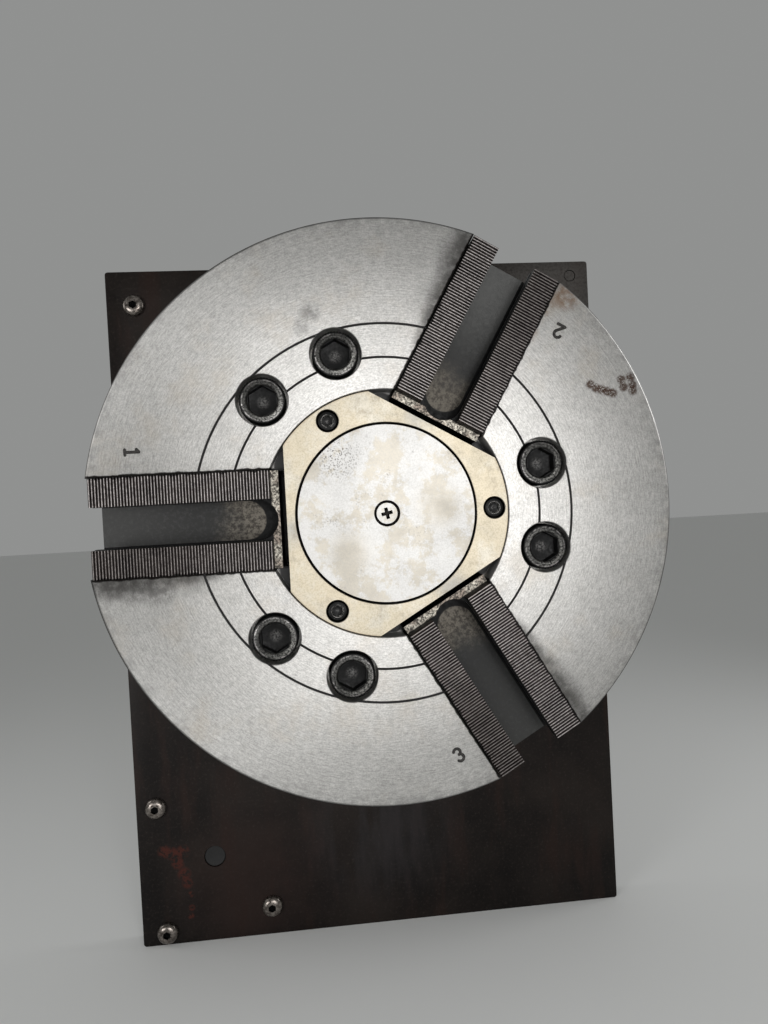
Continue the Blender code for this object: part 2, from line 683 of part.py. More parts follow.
def main():
    for old in list(bpy.data.objects):
        bpy.data.objects.remove(old)
    plate_steel = finish("plate_steel", (0.055, 0.048, 0.045), 0.55, 0.6)
    screw_steel = finish("screw_steel", (0.35, 0.33, 0.30), 0.35, 1.0)
    plug_black = finish("plug_black", (0.012, 0.012, 0.013), 0.6, 0.0)
    housing_iron = finish("housing_iron", (0.25, 0.25, 0.25), 0.5, 1.0)
    ground_steel = finish("ground_steel", (0.62, 0.60, 0.58), 0.32, 1.0)
    chuck_steel = finish("chuck_steel", (0.70, 0.69, 0.67), 0.34, 1.0)
    black_oxide = finish("black_oxide", (0.02, 0.02, 0.02), 0.4, 0.8)
    cover_gilt = finish("cover_gilt", (0.74, 0.66, 0.48), 0.35, 1.0)
    cap_steel = finish("cap_steel", (0.78, 0.76, 0.74), 0.36, 1.0)
    jaw_steel = finish("jaw_steel", (0.14, 0.13, 0.13), 0.4, 0.9)
    build_plate(plate_steel)
    build_plate_fittings(screw_steel, plug_black, plate_steel)
    build_housing(housing_iron)
    build_nose(ground_steel)
    build_adapter(ground_steel)
    build_chuck_body(chuck_steel)
    build_mounting_bolts(black_oxide)
    build_cover(cover_gilt, black_oxide)
    build_centre_cap(cap_steel)
    build_centre_screw(cap_steel)
    for number, angle in enumerate(JAW_ANGLES, 1):
        build_jaw(number, angle, jaw_steel)
    hang_on_spindle()


main()
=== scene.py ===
# %% [markdown]
# A power chuck on its headstock plate.
# The real object is the part of a turning centre that grips the work: a steel body 304 mm across,
# with three master jaws, bolted to the spindle in front of a dark steel plate.
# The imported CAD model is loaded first. It fixes every place and size, and this script adds the
# turned edges, the engraving and the finishes.

# %% Load the frame
import bmesh
import bpy
import math
from mathutils import Matrix, Vector


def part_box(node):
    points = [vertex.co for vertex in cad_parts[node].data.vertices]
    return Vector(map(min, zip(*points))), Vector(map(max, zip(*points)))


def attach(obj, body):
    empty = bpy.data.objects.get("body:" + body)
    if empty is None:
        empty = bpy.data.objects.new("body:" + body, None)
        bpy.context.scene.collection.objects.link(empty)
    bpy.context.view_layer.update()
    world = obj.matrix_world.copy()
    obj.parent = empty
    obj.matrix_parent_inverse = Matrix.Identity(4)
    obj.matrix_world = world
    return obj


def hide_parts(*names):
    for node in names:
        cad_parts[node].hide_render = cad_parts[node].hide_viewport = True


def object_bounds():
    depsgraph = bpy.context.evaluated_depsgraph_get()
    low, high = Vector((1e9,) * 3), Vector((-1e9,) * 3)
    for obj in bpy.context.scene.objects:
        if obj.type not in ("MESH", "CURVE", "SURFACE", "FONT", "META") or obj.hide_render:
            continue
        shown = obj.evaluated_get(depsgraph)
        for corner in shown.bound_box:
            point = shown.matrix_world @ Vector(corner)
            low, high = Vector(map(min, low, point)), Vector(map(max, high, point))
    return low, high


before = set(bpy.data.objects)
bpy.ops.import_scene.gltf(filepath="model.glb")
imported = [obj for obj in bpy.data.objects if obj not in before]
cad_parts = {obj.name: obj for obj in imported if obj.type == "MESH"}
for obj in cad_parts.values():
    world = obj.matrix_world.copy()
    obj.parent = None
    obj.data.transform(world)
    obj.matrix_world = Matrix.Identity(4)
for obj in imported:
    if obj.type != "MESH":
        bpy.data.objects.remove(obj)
cad_low, cad_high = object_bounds()
print("CAD box", [round(size, 4) for size in cad_high - cad_low])

# %% [markdown]
# Every size below is either read from a CAD node's box or repeats a real size of the part.
# Reading them from the boxes keeps the fine pieces seated when the CAD changes.

# %% Sizes read from the frame
MM = 0.001
body_low, body_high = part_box("chuck_body")
FACE = body_low.y
BACK = body_high.y
CHUCK_RADIUS = body_high.x
JAW_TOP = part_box("master_jaw_1")[0].y
JAW_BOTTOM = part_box("master_jaw_1")[1].y
JAW_OUTER = -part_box("master_jaw_1")[0].x
JAW_INNER = -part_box("master_jaw_1")[1].x
plate_low, plate_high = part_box("headstock_plate")
PLATE_FRONT = plate_low.y
COVER_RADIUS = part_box("cover_ring")[1].x
COVER_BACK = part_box("cover_ring")[1].y
CAP_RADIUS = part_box("centre_cap")[1].x
CAP_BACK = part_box("centre_cap")[1].y
JAW_ANGLES = [math.radians(degrees) for degrees in (180, 60, -60)]
GAP = 0.3 * MM  # between pieces that touch in the real chuck
PAST = 1.0 * MM  # how far a cutter sticks out of what it cuts
print("chuck face at", round(FACE, 4), "and plate at", round(PLATE_FRONT, 4))

# %% [markdown]
# Round pieces are turned on a lathe in the real shop, and spin does the same job here:
# a half outline goes once round the spindle's line. Off-axis holes, hexagon sockets and guideways
# are cut by Boolean modifiers, which are then made part of the mesh, so each finished piece is
# one closed surface that sits at the origin.

# %% Helpers for shapes
FINE = 256
MEDIUM = 64
SMOOTH_ANGLE = math.radians(28)
WELD = 1e-6


def facing_out(mesh):
    """Turns every face outwards, whatever the operators left."""
    bmesh.ops.recalc_face_normals(mesh, faces=mesh.faces)
    if mesh.calc_volume(signed=True) < 0:
        bmesh.ops.reverse_faces(mesh, faces=mesh.faces)
    return mesh


def turn(outline, facets, closed=False):
    """A lathe: spins points of (radius, y) about the Y axis. A closed outline makes a ring."""
    mesh = bmesh.new()
    points = [mesh.verts.new((radius, y, 0)) for radius, y in outline]
    ends = points[1:] + points[:1] if closed else points[1:]
    edges = [mesh.edges.new(pair) for pair in zip(points, ends)]
    bmesh.ops.spin(
        mesh,
        geom=points + edges,
        cent=(0, 0, 0),
        axis=(0, 1, 0),
        angle=2 * math.pi,
        steps=facets,
        use_merge=True,
    )
    bmesh.ops.remove_doubles(mesh, verts=mesh.verts, dist=WELD)
    return facing_out(mesh)


def drawn(outline, reach):
    """An outline of 3-D points, drawn out along the vector reach."""
    mesh = bmesh.new()
    face = mesh.faces.new([mesh.verts.new(point) for point in outline])
    sweep = bmesh.ops.extrude_face_region(mesh, geom=[face])
    far_end = [item for item in sweep["geom"] if isinstance(item, bmesh.types.BMVert)]
    bmesh.ops.translate(mesh, verts=far_end, vec=reach)
    return facing_out(mesh)


def corner_radius(flats):
    """From a hexagon's middle to its corners, for a width across its flats."""
    return flats / 2 / math.cos(math.pi / 6)


def hexagon(flats, top, bottom, point):
    """A hexagonal prism along Y from top to bottom, with a drill point below it."""
    mesh = bmesh.new()
    depth = bottom - top
    bmesh.ops.create_cone(
        mesh,
        cap_ends=True,
        segments=6,
        radius1=corner_radius(flats),
        radius2=corner_radius(flats),
        depth=depth,
        matrix=Matrix.Translation((0, top + depth / 2, 0)) @ Matrix.Rotation(math.pi / 2, 4, "X"),
    )
    floor = max(mesh.faces, key=lambda face: face.calc_center_median().y)
    tip = bmesh.ops.poke(mesh, faces=[floor])["verts"]
    bmesh.ops.translate(mesh, verts=tip, vec=(0, point, 0))
    return facing_out(mesh)


def moved(mesh, x=0.0, z=0.0, angle=0.0):
    """Turns a mesh about its Y axis, seen from the front, and sets it at (x, z)."""
    turning = Matrix.Rotation(-angle, 3, "Y")
    bmesh.ops.rotate(mesh, verts=mesh.verts, cent=(0, 0, 0), matrix=turning)
    bmesh.ops.translate(mesh, verts=mesh.verts, vec=(x, 0, z))
    return mesh


def at(radius, angle):
    """The (x, z) of a place at a radius and an angle from the spindle."""
    return radius * math.cos(angle), radius * math.sin(angle)


def piece(name, mesh, finish=None):
    """Makes an object of a mesh. The mesh already holds its place."""
    data = bpy.data.meshes.new(name)
    mesh.to_mesh(data)
    mesh.free()
    made = bpy.data.objects.new(name, data)
    bpy.context.scene.collection.objects.link(made)
    if finish:
        data.materials.append(finish)
    return made


def settle(made):
    """Makes the live modifiers part of the mesh, then shades round faces smooth."""
    depsgraph = bpy.context.evaluated_depsgraph_get()
    whole = bpy.data.meshes.new_from_object(made.evaluated_get(depsgraph))
    made.modifiers.clear()
    made.data = whole
    whole.shade_smooth()
    whole.set_sharp_from_angle(angle=SMOOTH_ANGLE)
    return made


def cut(made, *tools, operation="DIFFERENCE", transfer=False):
    """Cuts the tools from a piece, or joins them to it. A tool is a mesh or an object."""
    cutters = []
    for tool in tools:
        is_mesh = isinstance(tool, bmesh.types.BMesh)
        cutters.append(piece(f"{made.name}_tool", tool) if is_mesh else tool)
    for cutter in cutters:
        step = made.modifiers.new(cutter.name, "BOOLEAN")
        step.operation = operation
        step.solver = "EXACT"
        step.object = cutter
        if transfer:
            step.material_mode = "TRANSFER"
    settle(made)
    for cutter in cutters:
        bpy.data.objects.remove(cutter)
    return made


def seat(made, body, slot, *nodes):
    """Says which CAD body a piece rides on, and the CAD nodes it stands for. The slot is not used.
    """
    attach(made, body)
    if nodes:
        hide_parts(*nodes)
    print(f"{made.name}: {len(made.data.polygons)} faces on {body}")
    return made


# %% [markdown]
# A finish is a small network of nodes. Each one starts from Object coordinates, which are real
# metres here, so a mark or a stain has the same size on every piece. The two classes below only
# shorten the writing: a sum or product of values adds the node that works it out, and each coat
# adds a node that mixes a new colour into the old one.

# %% Helpers for finishes
class Value:
    """One output of a node: a number or a colour that varies over the piece."""

    def __init__(self, finish, socket):
        self.finish = finish
        self.socket = socket

    def __add__(self, other):
        return self.finish.maths("ADD", self, other)

    def __sub__(self, other):
        return self.finish.maths("SUBTRACT", self, other)

    def __rsub__(self, other):
        return self.finish.maths("SUBTRACT", other, self)

    def __mul__(self, other):
        return self.finish.maths("MULTIPLY", self, other)

    def __truediv__(self, other):
        return self.finish.maths("DIVIDE", self, other)

    def __abs__(self):
        return self.finish.maths("ABSOLUTE", self)

    def ramp(self, start, end, low=0.0, high=1.0):
        """Carries the value from start..end to low..high, and clamps it there."""
        inputs = enumerate((self, start, end, low, high))
        return self.finish.node("ShaderNodeMapRange", 0, inputs, interpolation_type="SMOOTHSTEP")

    def fade(self, start, end):
        """1 up to start, 0 from end on."""
        return self.ramp(start, end, 1.0, 0.0)


class Finish:
    """One material and its nodes: a first colour and the coats laid over it."""

    def __init__(self, name, metallic, roughness, colour=(0.5, 0.5, 0.5)):
        self.material = bpy.data.materials.new(name)
        self.material.use_nodes = True
        self.tree = self.material.node_tree
        self.shader = self.tree.nodes["Principled BSDF"]
        self.shader.inputs["Metallic"].default_value = metallic
        self.shader.inputs["Roughness"].default_value = roughness
        self.shader.inputs["Base Color"].default_value = (*colour, 1)
        self.place = self.node("ShaderNodeTexCoord", "Object")

    def node(self, kind, output, inputs=(), **settings):
        """Adds a node, fills its inputs and gives back one of its outputs."""
        made = self.tree.nodes.new(kind)
        for key, value in settings.items():
            setattr(made, key, value)
        for key, value in dict(inputs).items():
            self.plug(made.inputs[key], value)
        return Value(self, made.outputs[output])

    def plug(self, socket, value):
        if isinstance(value, Value):
            self.tree.links.new(value.socket, socket)
        elif isinstance(value, tuple) and len(value) == 3 and socket.type == "RGBA":
            socket.default_value = (*value, 1)
        else:
            socket.default_value = value

    def maths(self, operation, first, second=0.0, clamp=False):
        inputs = {0: first, 1: second}
        return self.node("ShaderNodeMath", 0, inputs, operation=operation, use_clamp=clamp)

    def most(self, first, second):
        """The larger of two values."""
        return self.maths("MAXIMUM", first, second)

    def axes(self, place=None):
        x = self.node("ShaderNodeSeparateXYZ", "X", {"Vector": place or self.place})
        return [Value(self, output) for output in x.socket.node.outputs]

    def depth(self):
        """How far back a point lies, along Y."""
        return self.axes()[1]

    def turned_place(self, angle=0.0, scale=(1, 1, 1), shift=(0, 0, 0)):
        """Object coordinates turned about the spindle, so that +X runs out along a jaw."""
        turned = {"Rotation": (0, angle, 0), "Scale": scale, "Location": shift}
        return self.node("ShaderNodeMapping", "Vector", {"Vector": self.place, **turned})

    def noise(self, size, detail=3.0, rough=0.5, place=None):
        """Noise whose blotches are about size metres across, from 0 to 1."""
        inputs = {"Scale": 1 / size, "Detail": detail, "Roughness": rough}
        return self.node("ShaderNodeTexNoise", "Fac", {"Vector": place or self.place, **inputs})

    def mix(self, share, first, second):
        inputs = {"Factor": share, 6: first, 7: second}
        return self.node("ShaderNodeMix", 2, inputs, data_type="RGBA")

    def coat(self, share, colour):
        """Lays a colour over what is there, as far as share says."""
        self.colour = self.mix(share, self.colour, colour)

    def radius(self):
        """The distance from the spindle's line."""
        x, _, z = self.axes()
        return self.maths("SQRT", x * x + z * z)

    def spot(self, x, z, near, far):
        """1 within near metres of a place on the face, 0 beyond far."""
        flat = self.node("ShaderNodeMapping", "Vector", {"Vector": self.place, "Scale": (1, 0, 1)})
        inputs = {0: flat, 1: (x, 0, z)}
        apart = self.node("ShaderNodeVectorMath", "Value", inputs, operation="DISTANCE")
        return apart.fade(near, far)

    def bump(self, height, distance, strength):
        inputs = {"Height": height, "Distance": distance, "Strength": strength}
        self.plug(self.shader.inputs["Normal"], self.node("ShaderNodeBump", "Normal", inputs))

    def wear(self, roughness=None, metallic=None):
        """Plugs what was worked out into the shader, and gives back the material."""
        found = {"Base Color": self.colour, "Roughness": roughness, "Metallic": metallic}
        for key, value in found.items():
            if value is not None:
                self.plug(self.shader.inputs[key], value)
        return self.material


# %% [markdown]
# The chuck's face was turned on a lathe and has since been handled, wiped and stained. It is
# painted brighter towards the middle, partly as rubbing and partly as a painted highlight. Rings
# come from noise that only sees the radius, short marks from noise drawn out along the turning,
# and stains from broad noise. Black lines along the guideways, in the grooves and beside the
# cover are partly old grease and oil and partly painted shade in the gaps and hollows, so the
# finish works out how far each point lies from them. One side of each jaw is painted darker,
# partly dirt and partly the jaw's painted shadow, and a painted shadow line runs round the rim.
# The tables of marks are in millimetres, as measured in the photograph.

# %% The chuck's turned steel
GUIDE_HALF = 25.3 * MM
GROOVES = (80.3 * MM, 97.6 * MM)
GROOVE_HALF = 0.65 * MM
RECESS_RADIUS = COVER_RADIUS + GAP
COVER_FLAT = 51.3 * MM
STRIP_EDGE = (COVER_FLAT + 5.0 * MM, COVER_FLAT + 6.5 * MM)
MID_RADIUS = 110 * MM
RUST_MARKS = (
    (111, 62), (114, 60), (117, 59), (120, 58), (123, 57),
    (128, 64), (129, 60), (133, 65), (134, 61), (134, 58),
)
# Dark tone for turned marks and grain, and for the painted shade beside the jaws.
DARK_TONE_AND_SHADE = (0.05, 0.047, 0.044)
# The grey smears below jaw 1 are partly dirt and partly the jaw's painted shadow; the others are
# dirt.
GREY_DIRT_AND_SHADOW = (0.13, 0.125, 0.12)
BROWN_DIRT = (0.20, 0.11, 0.055)
SMEARS = (  # x, z, size, share and colour
    (-139, -30, 9, 0.8, GREY_DIRT_AND_SHADOW),
    (-129, -31, 10, 0.8, GREY_DIRT_AND_SHADOW),
    (-117, -32, 12, 0.7, GREY_DIRT_AND_SHADOW),
    (-100, -30, 11, 0.4, GREY_DIRT_AND_SHADOW),
    (30, 108, 14, 0.35, GREY_DIRT_AND_SHADOW),
    (44, 128, 16, 0.4, GREY_DIRT_AND_SHADOW),
    (-34, 104, 7, 0.6, GREY_DIRT_AND_SHADOW),
    (-39, 97, 6, 0.5, GREY_DIRT_AND_SHADOW),
    (100, 110, 12, 0.8, BROWN_DIRT),
    (88, 105, 8, 0.7, BROWN_DIRT),
    (80, 90, 6, 0.5, BROWN_DIRT),
)


def guide_grease_and_shade(finish):
    """Two masks: the guideways' black edges, grease and painted gap shade, and one side's darker
    zone, dirt and painted jaw shadow.
    """
    grease_and_gap_shade = 0.0
    side_dirt_and_shadow = 0.0
    reach = finish.noise(3 * MM, 5.0).ramp(0.3, 0.8, 1.1 * MM, 1.9 * MM)
    for angle in JAW_ANGLES:
        u, _, v = finish.axes(finish.turned_place(angle))
        apart = abs(v) - GUIDE_HALF
        near = (apart / reach).fade(0.6, 1.0)
        grease_and_gap_shade = finish.most(grease_and_gap_shade, near * u.ramp(0.0, 20 * MM))
        wide = u.ramp(70 * MM, 140 * MM, 4 * MM, 14 * MM)
        one_side = v.ramp(0.0, 20 * MM) * u.ramp(74 * MM, 95 * MM)
        side_dirt_and_shadow = finish.most(side_dirt_and_shadow, (apart / wide).fade(0.2, 1.0) * one_side)
    return grease_and_gap_shade, side_dirt_and_shadow


def turned_lines(finish, size):
    """Rings of noise, as a turning tool leaves them on a face and round a side."""
    feed = {"X": finish.radius() + finish.depth()}
    return finish.noise(size, 4.0, 0.6, finish.node("ShaderNodeCombineXYZ", "Vector", feed))


def turned_marks(finish, size, length):
    """Noise drawn out along the turning, in marks of about size by length at mid radius."""
    x, y, z = finish.axes()
    way = finish.maths("ARCTAN2", z, x) * (MID_RADIUS * size / length)
    feed = {"X": finish.radius() + y, "Y": way}
    return finish.noise(size, 4.0, 0.7, finish.node("ShaderNodeCombineXYZ", "Vector", feed))


def near_groove(finish, radius):
    """1 inside one of the face's fine grooves."""
    mask = 0.0
    for centre in GROOVES:
        mask = finish.most(mask, abs(radius - centre).fade(GROOVE_HALF * 0.8, GROOVE_HALF))
    return mask


def beside_cover(finish):
    """1 in the strip beside the cover's flats, less farther out, where the floor shows."""
    farther = 0.0
    for angle in JAW_ANGLES:
        out = finish.axes(finish.turned_place(angle))[0]
        farther = finish.most(farther, out.ramp(*STRIP_EDGE, 0.0, 0.6))
    return 1.0 - farther


def chuck_steel():
    finish = Finish("chuck_steel_turned", 0.9, 0.42)
    finish.shader.inputs["Anisotropic"].default_value = 0.7
    way_round = finish.node("ShaderNodeTangent", "Tangent", direction_type="RADIAL", axis="Y")
    finish.plug(finish.shader.inputs["Tangent"], way_round)
    radius = finish.radius()
    depth = finish.depth()
    lines = turned_lines(finish, 0.6 * MM)
    marks = turned_marks(finish, 0.7 * MM, 3.5 * MM)
    grain = finish.noise(0.8 * MM, 3.0, 0.7)
    blotch = finish.noise(7 * MM, 5.0, 0.7)
    cloud = finish.noise(26 * MM, 6.0, 0.65).ramp(0.2, 0.8)
    # Brighter towards the middle: partly rubbing, partly a painted highlight of the lamps.
    rubbed_and_highlit = finish.mix(cloud, (0.71, 0.695, 0.668), (0.78, 0.763, 0.737))
    plain = finish.mix(cloud, (0.575, 0.565, 0.545), (0.655, 0.644, 0.623))
    finish.colour = finish.mix(radius.ramp(92 * MM, 138 * MM), rubbed_and_highlit, plain)
    darker = ((lines, 0.3, 0.75, 0.25), (blotch, 0.45, 0.75, 0.13))
    darker += ((marks, 0.4, 0.64, 0.26), (grain, 0.4, 0.62, 0.22))
    for value, start, end, share in darker:
        finish.coat(value.ramp(start, end, 0.0, share), DARK_TONE_AND_SHADE)
    finish.coat(finish.noise(30 * MM, 5.0, 0.65).ramp(0.5, 0.7) * 0.25, (0.44, 0.37, 0.28))

    ragged = finish.noise(4 * MM, 5.0, 0.7).ramp(0.3, 0.62, 0.1, 1.0)
    for x, z, size, share, tint in SMEARS:
        smear = finish.spot(x * MM, z * MM, size * MM * 0.3, size * MM)
        finish.coat(smear * ragged * share, tint)
    scuffs = radius.ramp(CHUCK_RADIUS - 9 * MM, CHUCK_RADIUS, 0.0, 0.5) * blotch.ramp(0.4, 0.6)
    finish.coat(scuffs, (0.24, 0.235, 0.23))
    grease_and_gap_shade, jaw_dirt_and_shadow = guide_grease_and_shade(finish)
    # Darker beside one side of each jaw: partly dirt, partly the jaw's painted shadow.
    finish.coat(jaw_dirt_and_shadow * blotch.ramp(0.3, 0.6, 0.45, 0.8), DARK_TONE_AND_SHADE)
    # Black along the guideways' edges: partly grease, partly painted shade of the gap.
    finish.coat(grease_and_gap_shade * 0.97, (0.006, 0.005, 0.004))
    smudge = finish.noise(1.2 * MM, 5.0, 0.8).ramp(0.38, 0.50)
    for x, z in RUST_MARKS:
        mark = finish.spot(x * MM, z * MM, 1.5 * MM, 3.2 * MM)
        finish.coat(mark * smudge * 0.9, (0.06, 0.03, 0.018))

    # Grooves and the recess beside the cover are painted near black: partly oil, partly painted
    # shade.
    shallow = depth.fade(FACE + 0.9 * MM, FACE + 1.2 * MM)
    hollow = near_groove(finish, radius) * shallow
    below = depth.ramp(FACE + 0.1 * MM, FACE + 0.35 * MM)
    recess = radius.fade(RECESS_RADIUS - 0.2 * MM, RECESS_RADIUS + 0.2 * MM)
    dark_hollows = finish.most(hollow, recess * below * beside_cover(finish))
    finish.coat(dark_hollows, (0.006, 0.005, 0.005))
    # A painted shadow: a dark line on the outer part of the rim's chamfer.
    rim_shadow_depth = depth.ramp(FACE + 0.55 * MM, FACE + 0.9 * MM)
    near_edge = depth.fade(FACE + 1.6 * MM, FACE + 2.4 * MM)
    rim = radius.ramp(CHUCK_RADIUS - 3 * MM, CHUCK_RADIUS - 2 * MM) * near_edge
    finish.coat(rim_shadow_depth * rim * 0.85, (0.02, 0.018, 0.016))
    finish.bump(lines * 0.5 + marks * 0.5, 0.05 * MM, 0.6)
    return finish.wear(blotch.ramp(0.3, 0.75, 0.41, 0.47) + grease_and_gap_shade * 0.1, 0.9 - dark_hollows * 0.85)


# %% [markdown]
# The body is one turned blank. Its face carries two fine grooves, and its rim has a chamfer. The
# three guideways and the bolts' counterbores are then cut from it, each with a small broken edge,
# as a machinist leaves it.

# %% Turn and cut the chuck body
RIM_CHAMFER = 1.3 * MM
BROKEN_EDGE = 0.35 * MM
GROOVE_DEPTH = 0.8 * MM
REAR_CHAMFER = 3.0 * MM
REGISTER_RADIUS = 110.3 * MM
REGISTER_DEPTH = 6 * MM
PLUNGER_BORE = 48 * MM
RECESS_FLOOR = COVER_BACK + GAP
RAIL_PROUD = 6 * MM
RAIL_TOP = FACE + 20 * MM
RAIL_BOTTOM = FACE + 32 * MM
GUIDE_FLOOR = JAW_BOTTOM + 0.5 * MM
BOLT_CIRCLE = 85.7 * MM
BOLT_SPREAD = math.radians(15)
COUNTERBORE = 13.3 * MM
HEAD_SHOULDER = FACE + 17.3 * MM
SHANK_HOLE = 8.6 * MM
BOLT_ANGLES = [a + math.pi + side * BOLT_SPREAD for a in JAW_ANGLES for side in (-1, 1)]


def groove(radius):
    """A round-bottomed groove in the face, as five points."""
    shape = ((-1, 0), (-0.7, 0.75), (0, 1), (0.7, 0.75), (1, 0))
    return [(radius + across * GROOVE_HALF, FACE + down * GROOVE_DEPTH) for across, down in shape]


def body_blank():
    outline = [(RECESS_RADIUS + BROKEN_EDGE, FACE)]
    for radius in GROOVES:
        outline += groove(radius)
    outline += [(CHUCK_RADIUS - RIM_CHAMFER, FACE), (CHUCK_RADIUS, FACE + RIM_CHAMFER)]
    outline += [(CHUCK_RADIUS, BACK - REAR_CHAMFER), (CHUCK_RADIUS - REAR_CHAMFER, BACK)]
    outline += [(REGISTER_RADIUS, BACK), (REGISTER_RADIUS, BACK - REGISTER_DEPTH)]
    outline += [(PLUNGER_BORE, BACK - REGISTER_DEPTH), (PLUNGER_BORE, RECESS_FLOOR)]
    outline += [(RECESS_RADIUS, RECESS_FLOOR), (RECESS_RADIUS, FACE + BROKEN_EDGE)]
    return turn(outline, FINE, closed=True)


def guideway(angle):
    """The slot that a master jaw slides in, with its two side grooves and a broken mouth."""
    wide = GUIDE_HALF + RAIL_PROUD
    side = [(GUIDE_HALF + BROKEN_EDGE + PAST, FACE - PAST), (GUIDE_HALF, FACE + BROKEN_EDGE)]
    side += [(GUIDE_HALF, RAIL_TOP - GAP), (wide, RAIL_TOP - GAP), (wide, RAIL_BOTTOM + GAP)]
    side += [(GUIDE_HALF, RAIL_BOTTOM + GAP), (GUIDE_HALF, GUIDE_FLOOR)]
    outline = [(0, y, z) for z, y in side] + [(0, y, -z) for z, y in reversed(side)]
    return moved(drawn(outline, (CHUCK_RADIUS + PAST, 0, 0)), angle=angle)


def bolt_hole(angle):
    outline = [(0, FACE - PAST), (COUNTERBORE + BROKEN_EDGE + PAST, FACE - PAST)]
    outline += [(COUNTERBORE, FACE + BROKEN_EDGE), (COUNTERBORE, HEAD_SHOULDER)]
    outline += [(SHANK_HOLE, HEAD_SHOULDER), (SHANK_HOLE, BACK), (0, BACK)]
    return moved(turn(outline, MEDIUM), *at(BOLT_CIRCLE, angle))


chuck_finish = chuck_steel()
chuck = piece("chuck_body_turned", body_blank(), chuck_finish)
cut(chuck, *[guideway(angle) for angle in JAW_ANGLES], *[bolt_hole(angle) for angle in BOLT_ANGLES])

# %% [markdown]
# The jaws' places are numbered on the face. An engraver's ball cutter follows the strokes of each
# number, so each stroke here is a curve with a round bevel, made mesh and used as a cutter. Its
# ends taper off like the ball. The cutter's black finish passes on to the cut. A font would give
# square ends, and outlines that touch themselves, which a Boolean doesn't take well. The strokes'
# points are in millimetres from the number's middle.

# %% Engrave the jaw numbers
STROKE_RADIUS = 0.85 * MM
STROKE_LIFT = 0.25 * MM
DIGIT_RADIUS = 131.4 * MM
DIGIT_LAG = math.radians(16.5)
ROUND_END = ((0.5, 0.87), (0.87, 0.5), (1.0, 0.1))


def black_fill():
    finish = Finish("engraving_black", 0.0, 0.7)
    dust = finish.noise(0.8 * MM).ramp(0.4, 0.7)
    finish.colour = finish.mix(dust, (0.010, 0.009, 0.008), (0.045, 0.04, 0.035))
    return finish.wear()


def arc(middle, radius, start, end, steps=12):
    """Points of an arc in a number, in millimetres, from start to end degrees."""
    angles = [math.radians(start + (end - start) * step / steps) for step in range(steps + 1)]
    return [(radius * math.cos(a), middle + radius * math.sin(a)) for a in angles]


STROKES = {
    1: [[(0, -3.4), (0, 3.4)], [(0, 3.4), (-1.3, 2.3)], [(-1.3, -3.4), (1.3, -3.4)]],
    2: [arc(1.55, 1.9, 165, -38) + [(-2.0, -3.3)], [(-2.1, -3.4), (2.1, -3.4)]],
    3: [arc(1.7, 1.75, 150, -80), arc(-1.7, 1.85, 80, -150)],
}


def rounded_ends(points):
    """Adds tapering points past both ends: (point, share of the full radius)."""
    full = [(point, 1.0) for point in points]
    for ends in ((points[1], points[0]), (points[-2], points[-1])):
        way = (ends[1] - ends[0]).normalized() * STROKE_RADIUS
        taper = [(ends[1] + way * reach, share) for reach, share in ROUND_END]
        full = taper[::-1] + full if ends[1] is points[0] else full + taper
    return full


def stroke(name, points, black):
    """One stroke of a number, as a round-ended rod that lies along the chuck's face."""
    curve = bpy.data.curves.new(name, "CURVE")
    curve.dimensions = "3D"
    curve.bevel_depth = STROKE_RADIUS
    curve.bevel_resolution = 3
    curve.use_fill_caps = True
    path = rounded_ends(points)
    spline = curve.splines.new("POLY")
    spline.points.add(len(path) - 1)
    for target, (point, share) in zip(spline.points, path):
        target.co = (*point, 1)
        target.radius = share
    rod = bpy.data.objects.new(name, curve)
    bpy.context.scene.collection.objects.link(rod)
    depsgraph = bpy.context.evaluated_depsgraph_get()
    mesh = bmesh.new()
    mesh.from_mesh(bpy.data.meshes.new_from_object(rod.evaluated_get(depsgraph)))
    bpy.data.objects.remove(rod)
    bmesh.ops.remove_doubles(mesh, verts=mesh.verts, dist=WELD)
    return piece(f"{name}_tool", facing_out(mesh), black)


def number_strokes(number, angle, black):
    """The strokes of one jaw's number. Its head points to the spindle."""
    x, z = at(DIGIT_RADIUS, angle - DIGIT_LAG)
    middle = Vector((x, FACE - STROKE_LIFT, z))
    up = Vector((-math.cos(angle), 0, -math.sin(angle)))
    side = Vector((up.z, 0, -up.x))
    rods = []
    for count, path in enumerate(STROKES[number]):
        points = [middle + side * across * MM + up * along * MM for across, along in path]
        rods.append(stroke(f"digit_{number}_{count}", points, black))
    return rods


engraving = black_fill()
for number, angle in enumerate(JAW_ANGLES, 1):
    cut(chuck, *number_strokes(number, angle, engraving), transfer=True)
seat(chuck, "chuck", "chuck_steel", "chuck_body")

# %% [markdown]
# The cover ring that closes the middle has a pale gilt finish. It is a plain ring with three flats
# that clear the jaws, so it is turned, sliced three times by a plane and closed again.

# %% The gilt cover ring
CAP_GAP = 0.8 * MM
CAP_LIP = 4 * MM
COVER_CHAMFER = 0.4 * MM
COVER_SCREW_CIRCLE = 56.3 * MM
COVER_SCREW_SEAT = FACE + 7 * MM
COVER_SCREW_HOLE = 5.6 * MM
COVER_SHANK_HOLE = 3.3 * MM
COVER_SCREW_ANGLES = [angle + math.pi for angle in JAW_ANGLES]
# Near black painted into gaps and recesses, as painted shade.
GAP_SHADE = (0.008, 0.007, 0.006)


